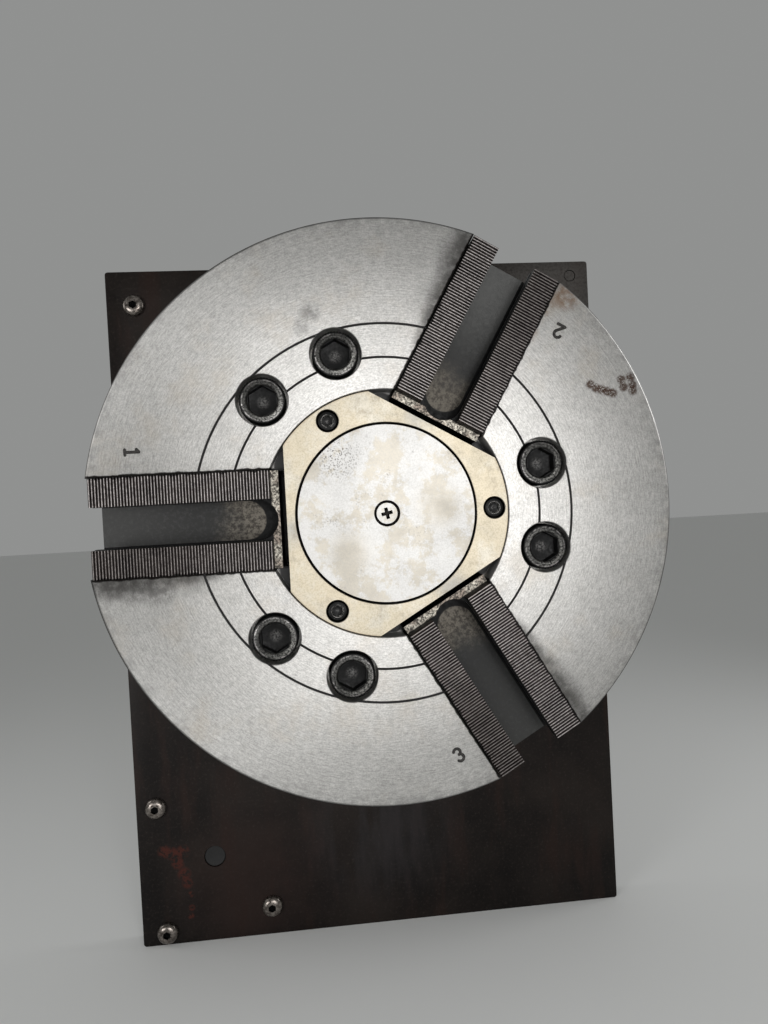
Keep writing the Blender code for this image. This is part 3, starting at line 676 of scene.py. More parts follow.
def gilt_steel():
    finish = Finish("cover_gilt_turned", 0.85, 0.38)
    cloud = finish.noise(16 * MM, 5.0, 0.65)
    speckle = finish.noise(0.8 * MM, 3.0, 0.7)
    finish.colour = finish.mix(cloud.ramp(0.3, 0.7), (0.455, 0.40, 0.305), (0.54, 0.485, 0.38))
    pale = finish.noise(19 * MM, 5.0, 0.7, finish.turned_place(shift=(3, 0, 1)))
    finish.coat(pale.ramp(0.45, 0.65, 0.0, 0.8), (0.53, 0.50, 0.435))
    for angle in JAW_ANGLES:
        x, z = at(52 * MM, angle + math.radians(8))
        worn = finish.spot(x, z, 2 * MM, 13 * MM) * cloud.ramp(0.3, 0.6, 0.2, 0.8)
        finish.coat(worn, (0.34, 0.335, 0.32))
    finish.coat(finish.noise(9 * MM, 5.0, 0.75).ramp(0.52, 0.75, 0.0, 0.7), (0.27, 0.235, 0.18))
    finish.coat(speckle.ramp(0.4, 0.7, 0.0, 0.5), (0.28, 0.245, 0.18))
    edge = finish.radius().ramp(COVER_RADIUS - 1.2 * MM, COVER_RADIUS, 0.0, 0.55)
    finish.coat(edge, (0.25, 0.19, 0.12))
    # Painted shade: the flats, bore and holes, set back from the face, are black.
    finish.coat(finish.depth().ramp(FACE + 0.1 * MM, FACE + 0.3 * MM), GAP_SHADE)
    finish.bump(speckle, 0.015 * MM, 0.6)
    return finish.wear(cloud.ramp(0.3, 0.8, 0.46, 0.58))


def cover_blank():
    bore = CAP_RADIUS + CAP_GAP
    ledge = CAP_BACK + GAP
    outline = [(bore + COVER_CHAMFER, FACE), (COVER_RADIUS - COVER_CHAMFER, FACE)]
    outline += [(COVER_RADIUS, FACE + COVER_CHAMFER), (COVER_RADIUS, COVER_BACK)]
    outline += [(bore - CAP_LIP, COVER_BACK), (bore - CAP_LIP, ledge), (bore, ledge)]
    outline += [(bore, FACE + COVER_CHAMFER)]
    mesh = turn(outline, FINE, closed=True)
    for angle in JAW_ANGLES:
        x, z = at(1, angle)
        bmesh.ops.bisect_plane(
            mesh,
            geom=mesh.verts[:] + mesh.edges[:] + mesh.faces[:],
            plane_co=(x * COVER_FLAT, 0, z * COVER_FLAT),
            plane_no=(x, 0, z),
            clear_outer=True,
        )
        open_edges = [edge for edge in mesh.edges if edge.is_boundary]
        bmesh.ops.edgenet_fill(mesh, edges=open_edges)
    return facing_out(mesh)


def cover_hole(angle):
    outline = [(0, FACE - PAST), (COVER_SCREW_HOLE + COVER_CHAMFER + PAST, FACE - PAST)]
    outline += [(COVER_SCREW_HOLE, FACE + COVER_CHAMFER), (COVER_SCREW_HOLE, COVER_SCREW_SEAT)]
    outline += [(COVER_SHANK_HOLE, COVER_SCREW_SEAT), (COVER_SHANK_HOLE, COVER_BACK + PAST)]
    outline += [(0, COVER_BACK + PAST)]
    return moved(turn(outline, MEDIUM), *at(COVER_SCREW_CIRCLE, angle))


cover = piece("cover_ring_turned", cover_blank(), gilt_steel())
cut(cover, *[cover_hole(angle) for angle in COVER_SCREW_ANGLES])
seat(cover, "chuck", "cover_gilt", "cover_ring")

# %% [markdown]
# The disc in the middle is a bright cap that keeps chips out of the bore. Coolant has left small
# dark pits in groups and a few light brown patches. Its screw is an ordinary countersunk one.

# %% The centre cap and its screw
CENTRE_HEAD = 5.4 * MM
CENTRE_MOUTH = 6.8 * MM
CENTRE_SHANK = 3.0 * MM
CENTRE_SUNK = 1.0 * MM
CENTRE_END = FACE + 12 * MM
CENTRE_TURN = math.radians(12)
CROSS_ARM = 3.5 * MM
CROSS_HALF = 1.1 * MM
CROSS_DEPTH = 2.2 * MM
CAP_EDGE = 0.3 * MM


def cap_steel(name, top):
    """Bright steel down to just below top, and painted black shade beneath, in the gaps and the
    cross.
    """
    finish = Finish(name, 0.85, 0.4)
    cloud = finish.noise(20 * MM, 5.0, 0.6)
    grain = finish.noise(0.8 * MM, 3.0, 0.7)
    finish.colour = finish.mix(cloud.ramp(0.3, 0.7), (0.465, 0.458, 0.445), (0.545, 0.537, 0.523))
    groups = finish.noise(12 * MM, 4.0, 0.65).ramp(0.55, 0.72, 0.0, 0.5)
    groups = finish.most(groups, finish.spot(-24 * MM, 30 * MM, 2 * MM, 15 * MM))
    pits = finish.noise(0.8 * MM, 2.0).ramp(0.56, 0.66) * groups
    patches = finish.noise(17 * MM, 6.0, 0.75, finish.turned_place(shift=(1, 0, 2)))
    patches = patches.ramp(0.47, 0.56)
    for x, z in ((-20 * MM, -20 * MM), (27 * MM, 3 * MM)):
        stain = finish.spot(x, z, 3 * MM, 17 * MM) * cloud.ramp(0.3, 0.6, 0.5, 1.0)
        patches = finish.most(patches, stain)
    finish.coat(patches * 0.75, (0.41, 0.37, 0.30))
    finish.coat(pits * 0.8, (0.12, 0.10, 0.09))
    finish.coat(grain.ramp(0.35, 0.7, 0.0, 0.45), (0.33, 0.32, 0.305))
    # Painted shade: black below the top, in the gap round the disc and in the screw's cross.
    finish.coat(finish.depth().ramp(top + 0.01 * MM, top + 0.06 * MM), GAP_SHADE)
    finish.bump(grain * 0.3 - pits, 0.04 * MM, 0.6)
    return finish.wear(cloud.ramp(0.3, 0.8, 0.46, 0.58) + pits * 0.2)


def cap_disc():
    hole = CENTRE_SHANK + GAP
    rim = CAP_RADIUS - CAP_EDGE
    outline = [(CENTRE_MOUTH, FACE), (rim, FACE), (CAP_RADIUS, FACE + CAP_EDGE)]
    outline += [(CAP_RADIUS, CAP_BACK), (hole, CAP_BACK), (hole, FACE + CENTRE_MOUTH - hole)]
    return turn(outline, FINE, closed=True)


def cross_recess(top):
    """A cross whose arms narrow towards its floor, as the driver's tip does."""
    long, half = CROSS_ARM, CROSS_HALF
    quarter = [(long, -half), (long, half), (half, half)]
    outline = []
    for turns in range(4):
        spin = Matrix.Rotation(turns * math.pi / 2, 2)
        outline += [spin @ Vector(corner) for corner in quarter]
    mesh = drawn([(x, top - PAST, z) for x, z in outline], (0, PAST + CROSS_DEPTH, 0))
    low = [vert for vert in mesh.verts if vert.co.y > top]
    bmesh.ops.scale(mesh, verts=low, vec=(0.5, 1, 0.5))
    return moved(mesh, angle=CENTRE_TURN)


cap = settle(piece("centre_cap_turned", cap_disc(), cap_steel("cap_steel_turned", FACE)))
seat(cap, "chuck", "cap_steel", "centre_cap")
screw_top = FACE + CENTRE_SUNK
cone_end = screw_top + CENTRE_HEAD - CENTRE_SHANK
head = [(0, screw_top), (CENTRE_HEAD, screw_top), (CENTRE_SHANK, cone_end)]
head += [(CENTRE_SHANK, CENTRE_END), (0, CENTRE_END)]
head_finish = cap_steel("centre_screw_plated", screw_top)
centre_screw = piece("centre_screw_turned", turn(head, MEDIUM), head_finish)
cut(centre_screw, cross_recess(screw_top))
seat(centre_screw, "chuck", "cap_steel", "centre_screw")

# %% [markdown]
# Socket-head screws are knurled on the side of the head and have a hexagon socket with a broken
# edge that keys have rubbed bright. The light ring on the head is partly that wear and partly a
# painted highlight, stronger on the lower right, and the socket is painted black as shade. The
# knurl is real: every other point of the head's side is drawn in. The finish works from the
# distance to the screw's own line, so one function makes it for every screw, wherever it stands.

# %% Black socket-head screws
KNURL_FACETS = 96
KNURL_DEPTH = 0.25 * MM
# Head radius, head height, shank radius, shank length, the flat top's radius, rounded edge
BOLT_HEAD = (12 * MM, 16 * MM, 8 * MM, 123 * MM, 9.6 * MM, 1.8 * MM)
COVER_HEAD = (5 * MM, 6 * MM, 3 * MM, 19 * MM, 3.7 * MM, 0.7 * MM)
# Width across the socket's flats, its depth, the broken edge round it
BOLT_SOCKET = (14 * MM, 8 * MM, 0.5 * MM)
COVER_SOCKET = (5 * MM, 3 * MM, 0.25 * MM)
# Between these distances from its line a head is painted light: partly wear, partly a painted
# highlight
BOLT_LIGHT_RING = (8.2 * MM, 10.4 * MM)
COVER_LIGHT_RING = (2.6 * MM, 3.2 * MM)
BOLT_TOP = FACE + 1.0 * MM
COVER_TOP = COVER_SCREW_SEAT - GAP - 6 * MM


def black_oxide(name, x, z, top, worn):
    """Oiled black steel, painted grey in a ring round its line, partly wear and partly a painted
    highlight.
    """
    finish = Finish(name, 0.75, 0.38)
    inner, outer = worn
    soft = (outer - inner) * 0.25
    within = finish.spot(x, z, outer, outer + soft)
    ring = finish.maths("SUBTRACT", within, finish.spot(x, z, inner - soft, inner), clamp=True)
    edge_wear_and_highlight = finish.maths("SUBTRACT", within, finish.spot(x, z, outer - soft, outer), clamp=True)
    # Painted highlight: the ring is lighter on its lower right.
    lit_side = finish.spot(x + inner * 0.5, z - inner * 0.5, inner * 0.3, outer * 1.6)
    patchy = finish.noise(1.0 * MM, 4.0, 0.75).ramp(0.40, 0.60)
    here = finish.noise(7 * MM, 3.0, 0.6).ramp(0.40, 0.58, 0.15, 1.0)
    grime = finish.noise(2.5 * MM, 4.0, 0.7).ramp(0.45, 0.75)
    finish.colour = finish.mix(grime, (0.005, 0.005, 0.005), (0.020, 0.019, 0.018))
    finish.coat(finish.most(ring * lit_side, ring * 0.35) * patchy, (0.23, 0.225, 0.21))
    finish.coat(edge_wear_and_highlight * here * patchy, (0.42, 0.40, 0.39))
    # Painted shade: the socket is painted near black.
    socket_shade = finish.depth().ramp(top + 0.3 * MM, top + 1.2 * MM)
    socket_shade = socket_shade * finish.spot(x, z, inner * 1.05, inner * 1.1)
    finish.coat(socket_shade * 0.7, (0.002, 0.002, 0.002))
    dusty = socket_shade * patchy * finish.spot(x, z, inner * 0.1, inner * 0.5)
    finish.coat(dusty * 0.5, (0.16, 0.155, 0.15))
    finish.bump(grime, 0.05 * MM, 0.5)
    return finish.wear(finish.noise(1.2 * MM).ramp(0.3, 0.7, 0.35, 0.55))


def socket_head(top, radius, height, shank, length, flat, edge):
    """A cap screw's body with a knurled head, before its socket is cut."""
    under = top + height
    outline = [(0, top), (flat, top), (flat + (radius - flat) * 0.75, top + edge * 0.45)]
    outline += [(radius, top + edge), (radius, under - BROKEN_EDGE), (radius - BROKEN_EDGE, under)]
    outline += [(shank, under), (shank, under + length), (0, under + length)]
    mesh = turn(outline, KNURL_FACETS)
    step = math.pi / KNURL_FACETS * 2
    for vert in mesh.verts:
        away = math.hypot(vert.co.x, vert.co.z)
        turns = round(math.atan2(vert.co.z, vert.co.x) / step)
        if away > radius - WELD and turns % 2:
            share = (radius - KNURL_DEPTH) / radius
            vert.co.x *= share
            vert.co.z *= share
    return mesh


def socket_tools(top, flats, depth, rim):
    """The hexagon hole and the broken edge round its mouth."""
    corner = corner_radius(flats)
    funnel = [(0, top - PAST), (corner + rim + PAST, top - PAST)]
    funnel += [(corner - rim, top + 2 * rim), (0, top + 2 * rim)]
    return hexagon(flats, top - PAST, top + depth, depth * 0.15), turn(funnel, MEDIUM)


def knurled_screw(node, finish_name, circle, angle, top, head, socket, worn):
    """A socket-head screw on the chuck, in place of its CAD node."""
    x, z = at(circle, angle)
    finish = black_oxide(finish_name, x, z, top, worn)
    screw = piece(f"{node}_knurled", moved(socket_head(top, *head), x, z), finish)
    cut(screw, *[moved(tool, x, z) for tool in socket_tools(top, *socket)])
    seat(screw, "chuck", "black_oxide", node)


bolt_sizes = (BOLT_TOP, BOLT_HEAD, BOLT_SOCKET, BOLT_LIGHT_RING)
for number, angle in enumerate(BOLT_ANGLES, 1):
    node = f"mounting_bolt_{number}"
    knurled_screw(node, f"bolt_black_{number}", BOLT_CIRCLE, angle, *bolt_sizes)

cover_sizes = (COVER_TOP, COVER_HEAD, COVER_SOCKET, COVER_LIGHT_RING)
for number, angle in enumerate(COVER_SCREW_ANGLES, 1):
    node = f"cover_screw_{number}"
    knurled_screw(node, f"cover_screw_black_{number}", COVER_SCREW_CIRCLE, angle, *cover_sizes)

# %% [markdown]
# A master jaw is a hardened bar with a T-slot down its middle and fine serrations, 1.5 mm apart,
# that locate the top jaw. A shallow channel, a little wider than the slot, parts the two rows of
# teeth. Their crests are rubbed light and oil stays in the roots, so the finish reads how deep a
# point lies below the crests. The slot's walls under the teeth and a crescent at its inner end are
# painted black as shade, the flanks are black as grease and painted gap shade, and each slot's
# outer floor has a painted sheen of its own strength. Near the middle of the chuck the slot's
# floor is mottled with rust. All of it is worked out along the jaw, so all three are made alike.

# %% The master jaws
PITCH = 1.5 * MM
TEETH = 59
TOOTH_DEPTH = 1.0 * MM
CREST = 0.3 * MM
ROOT = 0.15 * MM
LAND_TOP = JAW_TOP + 8 * MM
# How far the painted shadow at the slot's inner end reaches over the floor.
END_SHADOW_REACH = 7.1 * MM
# Each slot's outer floor has a painted sheen, of its own strength per jaw.
FLOOR_SHEENS = {1: 1.1, 2: 2.6, 3: 1.1}  # how bright each slot's outer floor is
DIRTY_ROWS = {1: 1, 2: -1, 3: -1}  # the side of the slot whose teeth are dirtier
# Black painted as shade in the slots.
SLOT_SHADE = (0.003, 0.003, 0.003)
HALF_ROUND = 24
JAW_HALF = 25 * MM
SLOT_HALF = 10.5 * MM
SLOT_FLOOR = JAW_TOP + 24 * MM
SLOT_START = JAW_INNER + 0.9 * MM
TEE_HALF = 15.5 * MM
TEE_TOP = SLOT_FLOOR - 12 * MM
TEE_START = JAW_INNER + 4 * MM
TEETH_START = JAW_OUTER - TEETH * PITCH
ROW_HALF = SLOT_HALF + 0.2 * MM
ROW_FLOOR = JAW_TOP + 7.9 * MM
RAIL_SHORT = 1.0 * MM
RAIL_HALF = JAW_HALF + RAIL_PROUD


def jaw_side():
    """The jaw seen from its side: (distance from the spindle, y)."""
    root = JAW_TOP + TOOTH_DEPTH
    slope = (PITCH - CREST - ROOT) / 2
    side = [(JAW_INNER, JAW_BOTTOM), (JAW_INNER, LAND_TOP), (TEETH_START, LAND_TOP)]
    for tooth in range(TEETH):
        start = TEETH_START + tooth * PITCH
        side += [(start, root), (start + slope, JAW_TOP), (start + slope + CREST, JAW_TOP)]
        side.append((start + PITCH - ROOT, root))
    return side + [(JAW_OUTER, root), (JAW_OUTER, JAW_BOTTOM)]


def round_ended(start, half, top, bottom):
    """A slot that runs outwards from a half-round end."""
    bends = [math.radians(90 + 180 * step / HALF_ROUND) for step in range(HALF_ROUND + 1)]
    outline = [(start + half + half * math.cos(a), top, half * math.sin(a)) for a in bends]
    end = CHUCK_RADIUS + PAST
    outline += [(end, top, -half), (end, top, half)]
    return drawn(outline, (0, bottom - top, 0))


def bar(start, end, half, top, bottom):
    """A square bar along a jaw."""
    corners = [(start, -half), (end, -half), (end, half), (start, half)]
    return drawn([(u, top, v) for u, v in corners], (0, bottom - top, 0))


def jaw_steel(number, angle):
    finish = Finish(f"jaw_steel_{number}", 0.8, 0.42)
    local = finish.turned_place(angle)
    u, y, v = finish.axes(local)
    grain = finish.noise(0.7 * MM, 3.0, 0.7, local)
    mottle = finish.noise(2.2 * MM, 5.0, 0.75, local)
    cloud = finish.noise(12 * MM, 4.0, 0.65, local)

    finish.colour = finish.mix(cloud.ramp(0.3, 0.7), (0.020, 0.016, 0.015), (0.060, 0.049, 0.045))
    crest = y.fade(JAW_TOP + 0.12 * MM, JAW_TOP + 0.4 * MM)
    patchy = mottle.ramp(0.3, 0.62, 0.35, 1.0) * grain.ramp(0.38, 0.58, 0.55, 1.0)
    light = finish.mix(cloud, (0.32, 0.29, 0.285), (0.70, 0.655, 0.635))
    dirty_row = (v * DIRTY_ROWS[number]).ramp(0.0, SLOT_HALF)
    dirty = dirty_row * u.ramp(75 * MM, 115 * MM, 0.25, 0.55)
    finish.coat(crest * patchy, finish.mix(dirty, light, (0.07, 0.058, 0.05)))

    # Painted sheen: the floor is lighter outwards, more on some jaws than others.
    sheen = FLOOR_SHEENS[number]
    outer_floor_sheen = (0.034 * sheen, 0.034 * sheen, 0.033 * sheen)
    smooth = finish.mix(u.ramp(85 * MM, 145 * MM), (0.020, 0.020, 0.0195), outer_floor_sheen)
    smooth = finish.mix(mottle.ramp(0.45, 0.75, 0.0, 0.4), smooth, (0.09, 0.09, 0.09))
    rusty = finish.mix(mottle.ramp(0.38, 0.62), (0.020, 0.017, 0.014), (0.12, 0.108, 0.090))
    outward = (u + cloud * (30 * MM)).ramp(88 * MM, 106 * MM)
    floor = y.ramp(SLOT_FLOOR - 0.4 * MM, SLOT_FLOOR - 0.1 * MM)
    finish.coat(floor, finish.mix(outward, rusty, smooth))

    # A painted shadow: a black crescent where the slot's inner end shades its floor.
    end = u - (SLOT_START + SLOT_HALF + END_SHADOW_REACH)
    inner = finish.maths("MINIMUM", end, 0.0)
    reach = finish.maths("SQRT", inner * inner + v * v)
    end_shadow = reach.ramp(SLOT_HALF - 0.4 * MM, SLOT_HALF + 0.2 * MM)
    end_shadow = end_shadow * end.fade(-0.5 * MM, 0.5 * MM)
    finish.coat(end_shadow * y.ramp(JAW_TOP + 3.0 * MM, JAW_TOP + 5.0 * MM), SLOT_SHADE)
    # Painted shade: the slot's walls under the teeth are black.
    wall_shade = abs(v).ramp(SLOT_HALF - 0.3 * MM, SLOT_HALF - 0.1 * MM)
    root = JAW_TOP + TOOTH_DEPTH
    under_teeth = y.ramp(root + 0.3 * MM, root + 1.0 * MM)
    outside_land = u.ramp(TEETH_START, TEETH_START + 1.0 * MM)
    finish.coat(wall_shade * under_teeth * outside_land, SLOT_SHADE)

    # The jaw's flanks, in the guideway gap, are black: partly grease, partly painted shade.
    ragged = finish.noise(4 * MM, 4.0, 0.6, local).ramp(0.4, 0.7, 0.1 * MM, 1.2 * MM)
    flank_grease_and_shade = (abs(v) + ragged).ramp(JAW_HALF - 0.2 * MM, JAW_HALF + 0.1 * MM)
    finish.coat(flank_grease_and_shade * 0.9, (0.005, 0.0045, 0.004))
    inside = u.fade(TEETH_START - 0.3 * MM, TEETH_START - 0.1 * MM)
    on_land = inside * abs(y - LAND_TOP).fade(0.2 * MM, 0.5 * MM)
    tint = finish.mix(cloud.ramp(0.4, 0.6), (0.44, 0.41, 0.35), (0.22, 0.18, 0.15))
    chips = finish.noise(1.3 * MM, 4.0, 0.75, local).ramp(0.43, 0.60, 0.05, 1.0)
    finish.coat(on_land, finish.mix(chips, (0.03, 0.026, 0.022), tint))
    finish.bump(grain * 0.3 + mottle * 0.7, 0.06 * MM, 0.5)
    return finish.wear(mottle.ramp(0.3, 0.7, 0.36, 0.58))


def master_jaw(number, angle):
    blank = drawn([(u, y, -JAW_HALF) for u, y in jaw_side()], (0, 0, 2 * JAW_HALF))
    jaw = piece(f"master_jaw_{number}_serrated", blank, jaw_steel(number, angle))
    inner, outer = JAW_INNER + RAIL_SHORT, JAW_OUTER - RAIL_SHORT
    cut(jaw, bar(inner, outer, RAIL_HALF, RAIL_TOP, RAIL_BOTTOM), operation="UNION")
    top, end = JAW_TOP - PAST, CHUCK_RADIUS + PAST
    neck = round_ended(SLOT_START, SLOT_HALF, top, SLOT_FLOOR)
    tee = round_ended(TEE_START, TEE_HALF, TEE_TOP, SLOT_FLOOR)
    cut(jaw, neck, tee, bar(TEETH_START - PAST, end, ROW_HALF, top, ROW_FLOOR))
    jaw.data.transform(Matrix.Rotation(-angle, 4, "Y"))
    return seat(jaw, f"jaw_{number}", "jaw_steel", f"master_jaw_{number}")


for number, angle in enumerate(JAW_ANGLES, 1):
    master_jaw(number, angle)

# %% [markdown]
# Behind the chuck come the adapter, the spindle nose and the fixed bearing housing. They are
# plain turned steel and iron, seen only from the side, with thin oil on them.

# %% Adapter, spindle nose and housing
EDGE = 0.8 * MM


def ground_steel():
    finish = Finish("ground_steel_oiled", 0.9, 0.3)
    cloud = finish.noise(30 * MM, 4.0, 0.6)
    finish.colour = finish.mix(cloud, (0.42, 0.41, 0.39), (0.60, 0.59, 0.57))
    finish.coat(finish.noise(9 * MM, 5.0, 0.7).ramp(0.55, 0.8, 0.0, 0.5), (0.22, 0.16, 0.10))
    finish.bump(turned_lines(finish, 0.8 * MM), 0.02 * MM, 0.5)
    return finish.wear(cloud.ramp(0.3, 0.7, 0.26, 0.42))


def housing_iron():
    finish = Finish("housing_iron_machined", 0.7, 0.5)
    lines = turned_lines(finish, 1.2 * MM)
    cloud = finish.noise(22 * MM, 5.0, 0.65)
    finish.colour = finish.mix(cloud, (0.11, 0.105, 0.10), (0.24, 0.235, 0.23))
    finish.coat(lines.ramp(0.3, 0.7, 0.0, 0.35), (0.08, 0.075, 0.07))
    finish.bump(lines, 0.04 * MM, 0.6)
    return finish.wear(cloud.ramp(0.3, 0.7, 0.42, 0.6))


adapter_low, adapter_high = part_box("chuck_adapter")
nose_low, nose_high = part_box("spindle_nose")
house_low, house_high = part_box("spindle_housing")
ADAPTER_RADIUS = adapter_high.x
NOSE_RADIUS = nose_high.x
HOUSING_CAP = house_high.x
NOSE_FACE = adapter_high.y + GAP
NOSE_REAR = NOSE_FACE + 20 * MM
TAPER_END = adapter_high.y - 15 * MM
SHAFT = 65 * MM
SHAFT_BORE = 65.5 * MM
TAPER_ROOT = 69.85 * MM
TAPER_TIP = 68.22 * MM
HOUSING_BODY = 115 * MM
HOUSING_WALL = 6 * MM

register, spigot_end = REGISTER_RADIUS - GAP, BACK + GAP
outline = [(TAPER_ROOT + GAP, adapter_high.y), (TAPER_TIP, TAPER_END), (PLUNGER_BORE, TAPER_END)]
outline += [(PLUNGER_BORE, adapter_low.y), (register, adapter_low.y), (register, spigot_end)]
outline += [(ADAPTER_RADIUS - EDGE, spigot_end), (ADAPTER_RADIUS, spigot_end + EDGE)]
outline += [(ADAPTER_RADIUS, adapter_high.y - EDGE), (ADAPTER_RADIUS - EDGE, adapter_high.y)]
oiled = ground_steel()
adapter = settle(piece("chuck_adapter_turned", turn(outline, FINE, closed=True), oiled))
seat(adapter, "chuck", "ground_steel", "chuck_adapter")

outline = [(0, nose_low.y), (TAPER_TIP - GAP, nose_low.y), (TAPER_ROOT, NOSE_FACE)]
outline += [(NOSE_RADIUS - EDGE, NOSE_FACE), (NOSE_RADIUS, NOSE_FACE + EDGE)]
outline += [(NOSE_RADIUS, NOSE_REAR - EDGE), (NOSE_RADIUS - EDGE, NOSE_REAR)]
outline += [(SHAFT, NOSE_REAR), (SHAFT, nose_high.y), (0, nose_high.y)]
nose = settle(piece("spindle_nose_turned", turn(outline, FINE), oiled))
seat(nose, "chuck", "ground_steel", "spindle_nose")

behind_cap = PLATE_FRONT - GAP
outline = [(0, -HOUSING_WALL), (SHAFT_BORE, -HOUSING_WALL), (SHAFT_BORE, house_low.y + EDGE)]
outline += [(SHAFT_BORE + EDGE, house_low.y), (HOUSING_CAP - EDGE, house_low.y)]
outline += [(HOUSING_CAP, house_low.y + EDGE), (HOUSING_CAP, behind_cap)]
outline += [(HOUSING_BODY, behind_cap), (HOUSING_BODY, house_high.y), (0, house_high.y)]
housing = settle(piece("spindle_housing_turned", turn(outline, FINE), housing_iron()))
seat(housing, "headstock", "housing_iron", "spindle_housing")

# %% [markdown]
# The plate is hot-rolled steel with its dark scale still on, faintly red where rust shows through,
# with a dried run of rust near its lower left corner. The scale is broad noise, its streaks are
# noise drawn out upwards, and the scuffed places and the run are noise held to their places.

# %% The headstock plate
PLATE_CORNER = 2 * MM
PLATE_EDGE = 0.5 * MM
PLATE_HOLE_END = PLATE_FRONT + 12 * MM
RUST_RUN = (  # x, z and size in millimetres
    (-157, -236, 6), (-151, -238, 6), (-144, -237, 6),
    (-148, -245, 6), (-144, -253, 6), (-142, -260, 5),
    (-140, -268, 3), (-140, -278, 3), (-141, -284, 3),
)
BUTTON_SHANK = 4 * MM


def plate_steel():
    finish = Finish("plate_steel_scaled", 0.3, 0.5)
    finish.shader.inputs["Specular IOR Level"].default_value = 0.22
    broad = finish.noise(70 * MM, 5.0, 0.6)
    fine = finish.noise(2.0 * MM, 5.0, 0.75)
    tall = finish.noise(20 * MM, 4.0, 0.6, finish.turned_place(scale=(1, 1, 0.18)))
    scale = broad.ramp(0.3, 0.7)
    finish.colour = finish.mix(scale, (0.004, 0.0028, 0.0024), (0.016, 0.0116, 0.0096))
    finish.coat(tall.ramp(0.48, 0.68, 0.0, 0.7), (0.020, 0.010, 0.0073))
    finish.coat(fine.ramp(0.5, 0.75, 0.0, 0.5), (0.050, 0.040, 0.034))
    reddish = finish.spot(-95 * MM, -268 * MM, 15 * MM, 75 * MM) * broad.ramp(0.3, 0.6, 0.3, 1.0)
    finish.coat(reddish * 0.5, (0.020, 0.009, 0.007))
    worn = finish.spot(0.0, -235 * MM, 10 * MM, 70 * MM) * tall.ramp(0.35, 0.6)
    finish.coat(worn * 0.4, (0.032, 0.032, 0.036))
    scuffed = finish.spot(150 * MM, 150 * MM, 15 * MM, 75 * MM) * fine.ramp(0.3, 0.6, 0.4, 1.0)
    finish.coat(scuffed * 0.9, (0.085, 0.079, 0.073))
    broken = finish.noise(3 * MM, 4.0, 0.7).ramp(0.42, 0.55)
    for x, z, size in RUST_RUN:
        drop = finish.spot(x * MM, z * MM, size * MM * 0.4, size * MM)
        finish.coat(drop * broken * 0.9, (0.055, 0.014, 0.009))
    finish.bump(fine * 0.6 + broad * 0.4, 0.12 * MM, 0.5)
    return finish.wear(fine.ramp(0.3, 0.7, 0.4, 0.6))


def plate_blank():
    mesh = bmesh.new()
    bmesh.ops.create_cube(mesh, size=1)
    bmesh.ops.scale(mesh, verts=mesh.verts, vec=plate_high - plate_low)
    bmesh.ops.translate(mesh, verts=mesh.verts, vec=(plate_high + plate_low) / 2)
    round_off = {"affect": "EDGES", "profile": 0.5, "material": -1}
    uprights = [e for e in mesh.edges if abs((e.verts[0].co - e.verts[1].co).y) > PLATE_CORNER]
    bmesh.ops.bevel(mesh, geom=uprights, offset=PLATE_CORNER, segments=4, **round_off)
    rims = [e for e in mesh.edges if abs((e.verts[0].co - e.verts[1].co).y) < WELD]
    bmesh.ops.bevel(mesh, geom=rims, offset=PLATE_EDGE, segments=2, **round_off)
    return facing_out(mesh)


def drill(radius, start, end, x=0.0, z=0.0, facets=MEDIUM):
    return moved(turn([(0, start), (radius, start), (radius, end), (0, end)], facets), x, z)


def middle(node):
    """Where a small piece stands on the plate, and its radius, from its CAD box."""
    low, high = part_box(node)
    centre = (low + high) / 2
    return centre.x, centre.z, (high.x - low.x) / 2


PLATE_SCREWS = [f"plate_screw_{place}" for place in ("top_left", "left", "corner", "bottom")]
plate = piece("headstock_plate_scaled", plate_blank(), plate_steel())
holes = [drill(HOUSING_BODY + GAP, PLATE_FRONT - PAST, PAST, facets=FINE)]
for name in PLATE_SCREWS:
    x, z, _ = middle(name)
    holes.append(drill(BUTTON_SHANK + GAP, PLATE_FRONT - PAST, PLATE_HOLE_END, x, z))
for name in ("plate_plug", "plate_dowel"):
    x, z, radius = middle(name)
    holes.append(drill(radius + GAP, PLATE_FRONT - PAST, PLATE_HOLE_END, x, z))
cut(plate, *holes)
seat(plate, "headstock", "plate_steel", "headstock_plate")

# %% [markdown]
# Button-head screws have a low round head with a small hexagon socket. The dome is an arc in the
# outline that is spun. A rubber plug fills one hole and a pin stands flush in another.

# %% Screws, plug and pin in the plate
BUTTON_STEPS = 10
BUTTON_FLAT = 0.42  # the flat top's share of the head's radius
BUTTON_DOME = 0.88  # the dome's share of the head's height
BUTTON_KEY = 5 * MM
BUTTON_KEY_DEPTH = 2.6 * MM
BUTTON_POINT = 0.4 * MM
PLUG_EDGE = 0.4 * MM
PLUG_DISH = 0.5 * MM
PLUG_RING = (0.72, 0.86)  # the dished ring's edges, as shares of the radius


def screw_steel(top):
    """Worn steel, with the socket painted near black as shade."""
    finish = Finish("screw_steel_worn", 0.95, 0.3)
    blotch = finish.noise(2.2 * MM, 4.0, 0.7)
    finish.colour = finish.mix(blotch.ramp(0.35, 0.65), (0.10, 0.085, 0.075), (0.30, 0.27, 0.245))
    # Painted shade: the sockets are painted near black.
    dark_hollows = 0.0
    for name in PLATE_SCREWS:
        x, z, _ = middle(name)
        dark_hollows = finish.most(dark_hollows, finish.spot(x, z, 2.9 * MM, 3.0 * MM))
    dark_hollows = dark_hollows * finish.depth().ramp(top + 0.1 * MM, top + 0.6 * MM)
    finish.coat(dark_hollows, (0.004, 0.004, 0.004))
    return finish.wear(blotch.ramp(0.3, 0.7, 0.18, 0.34))


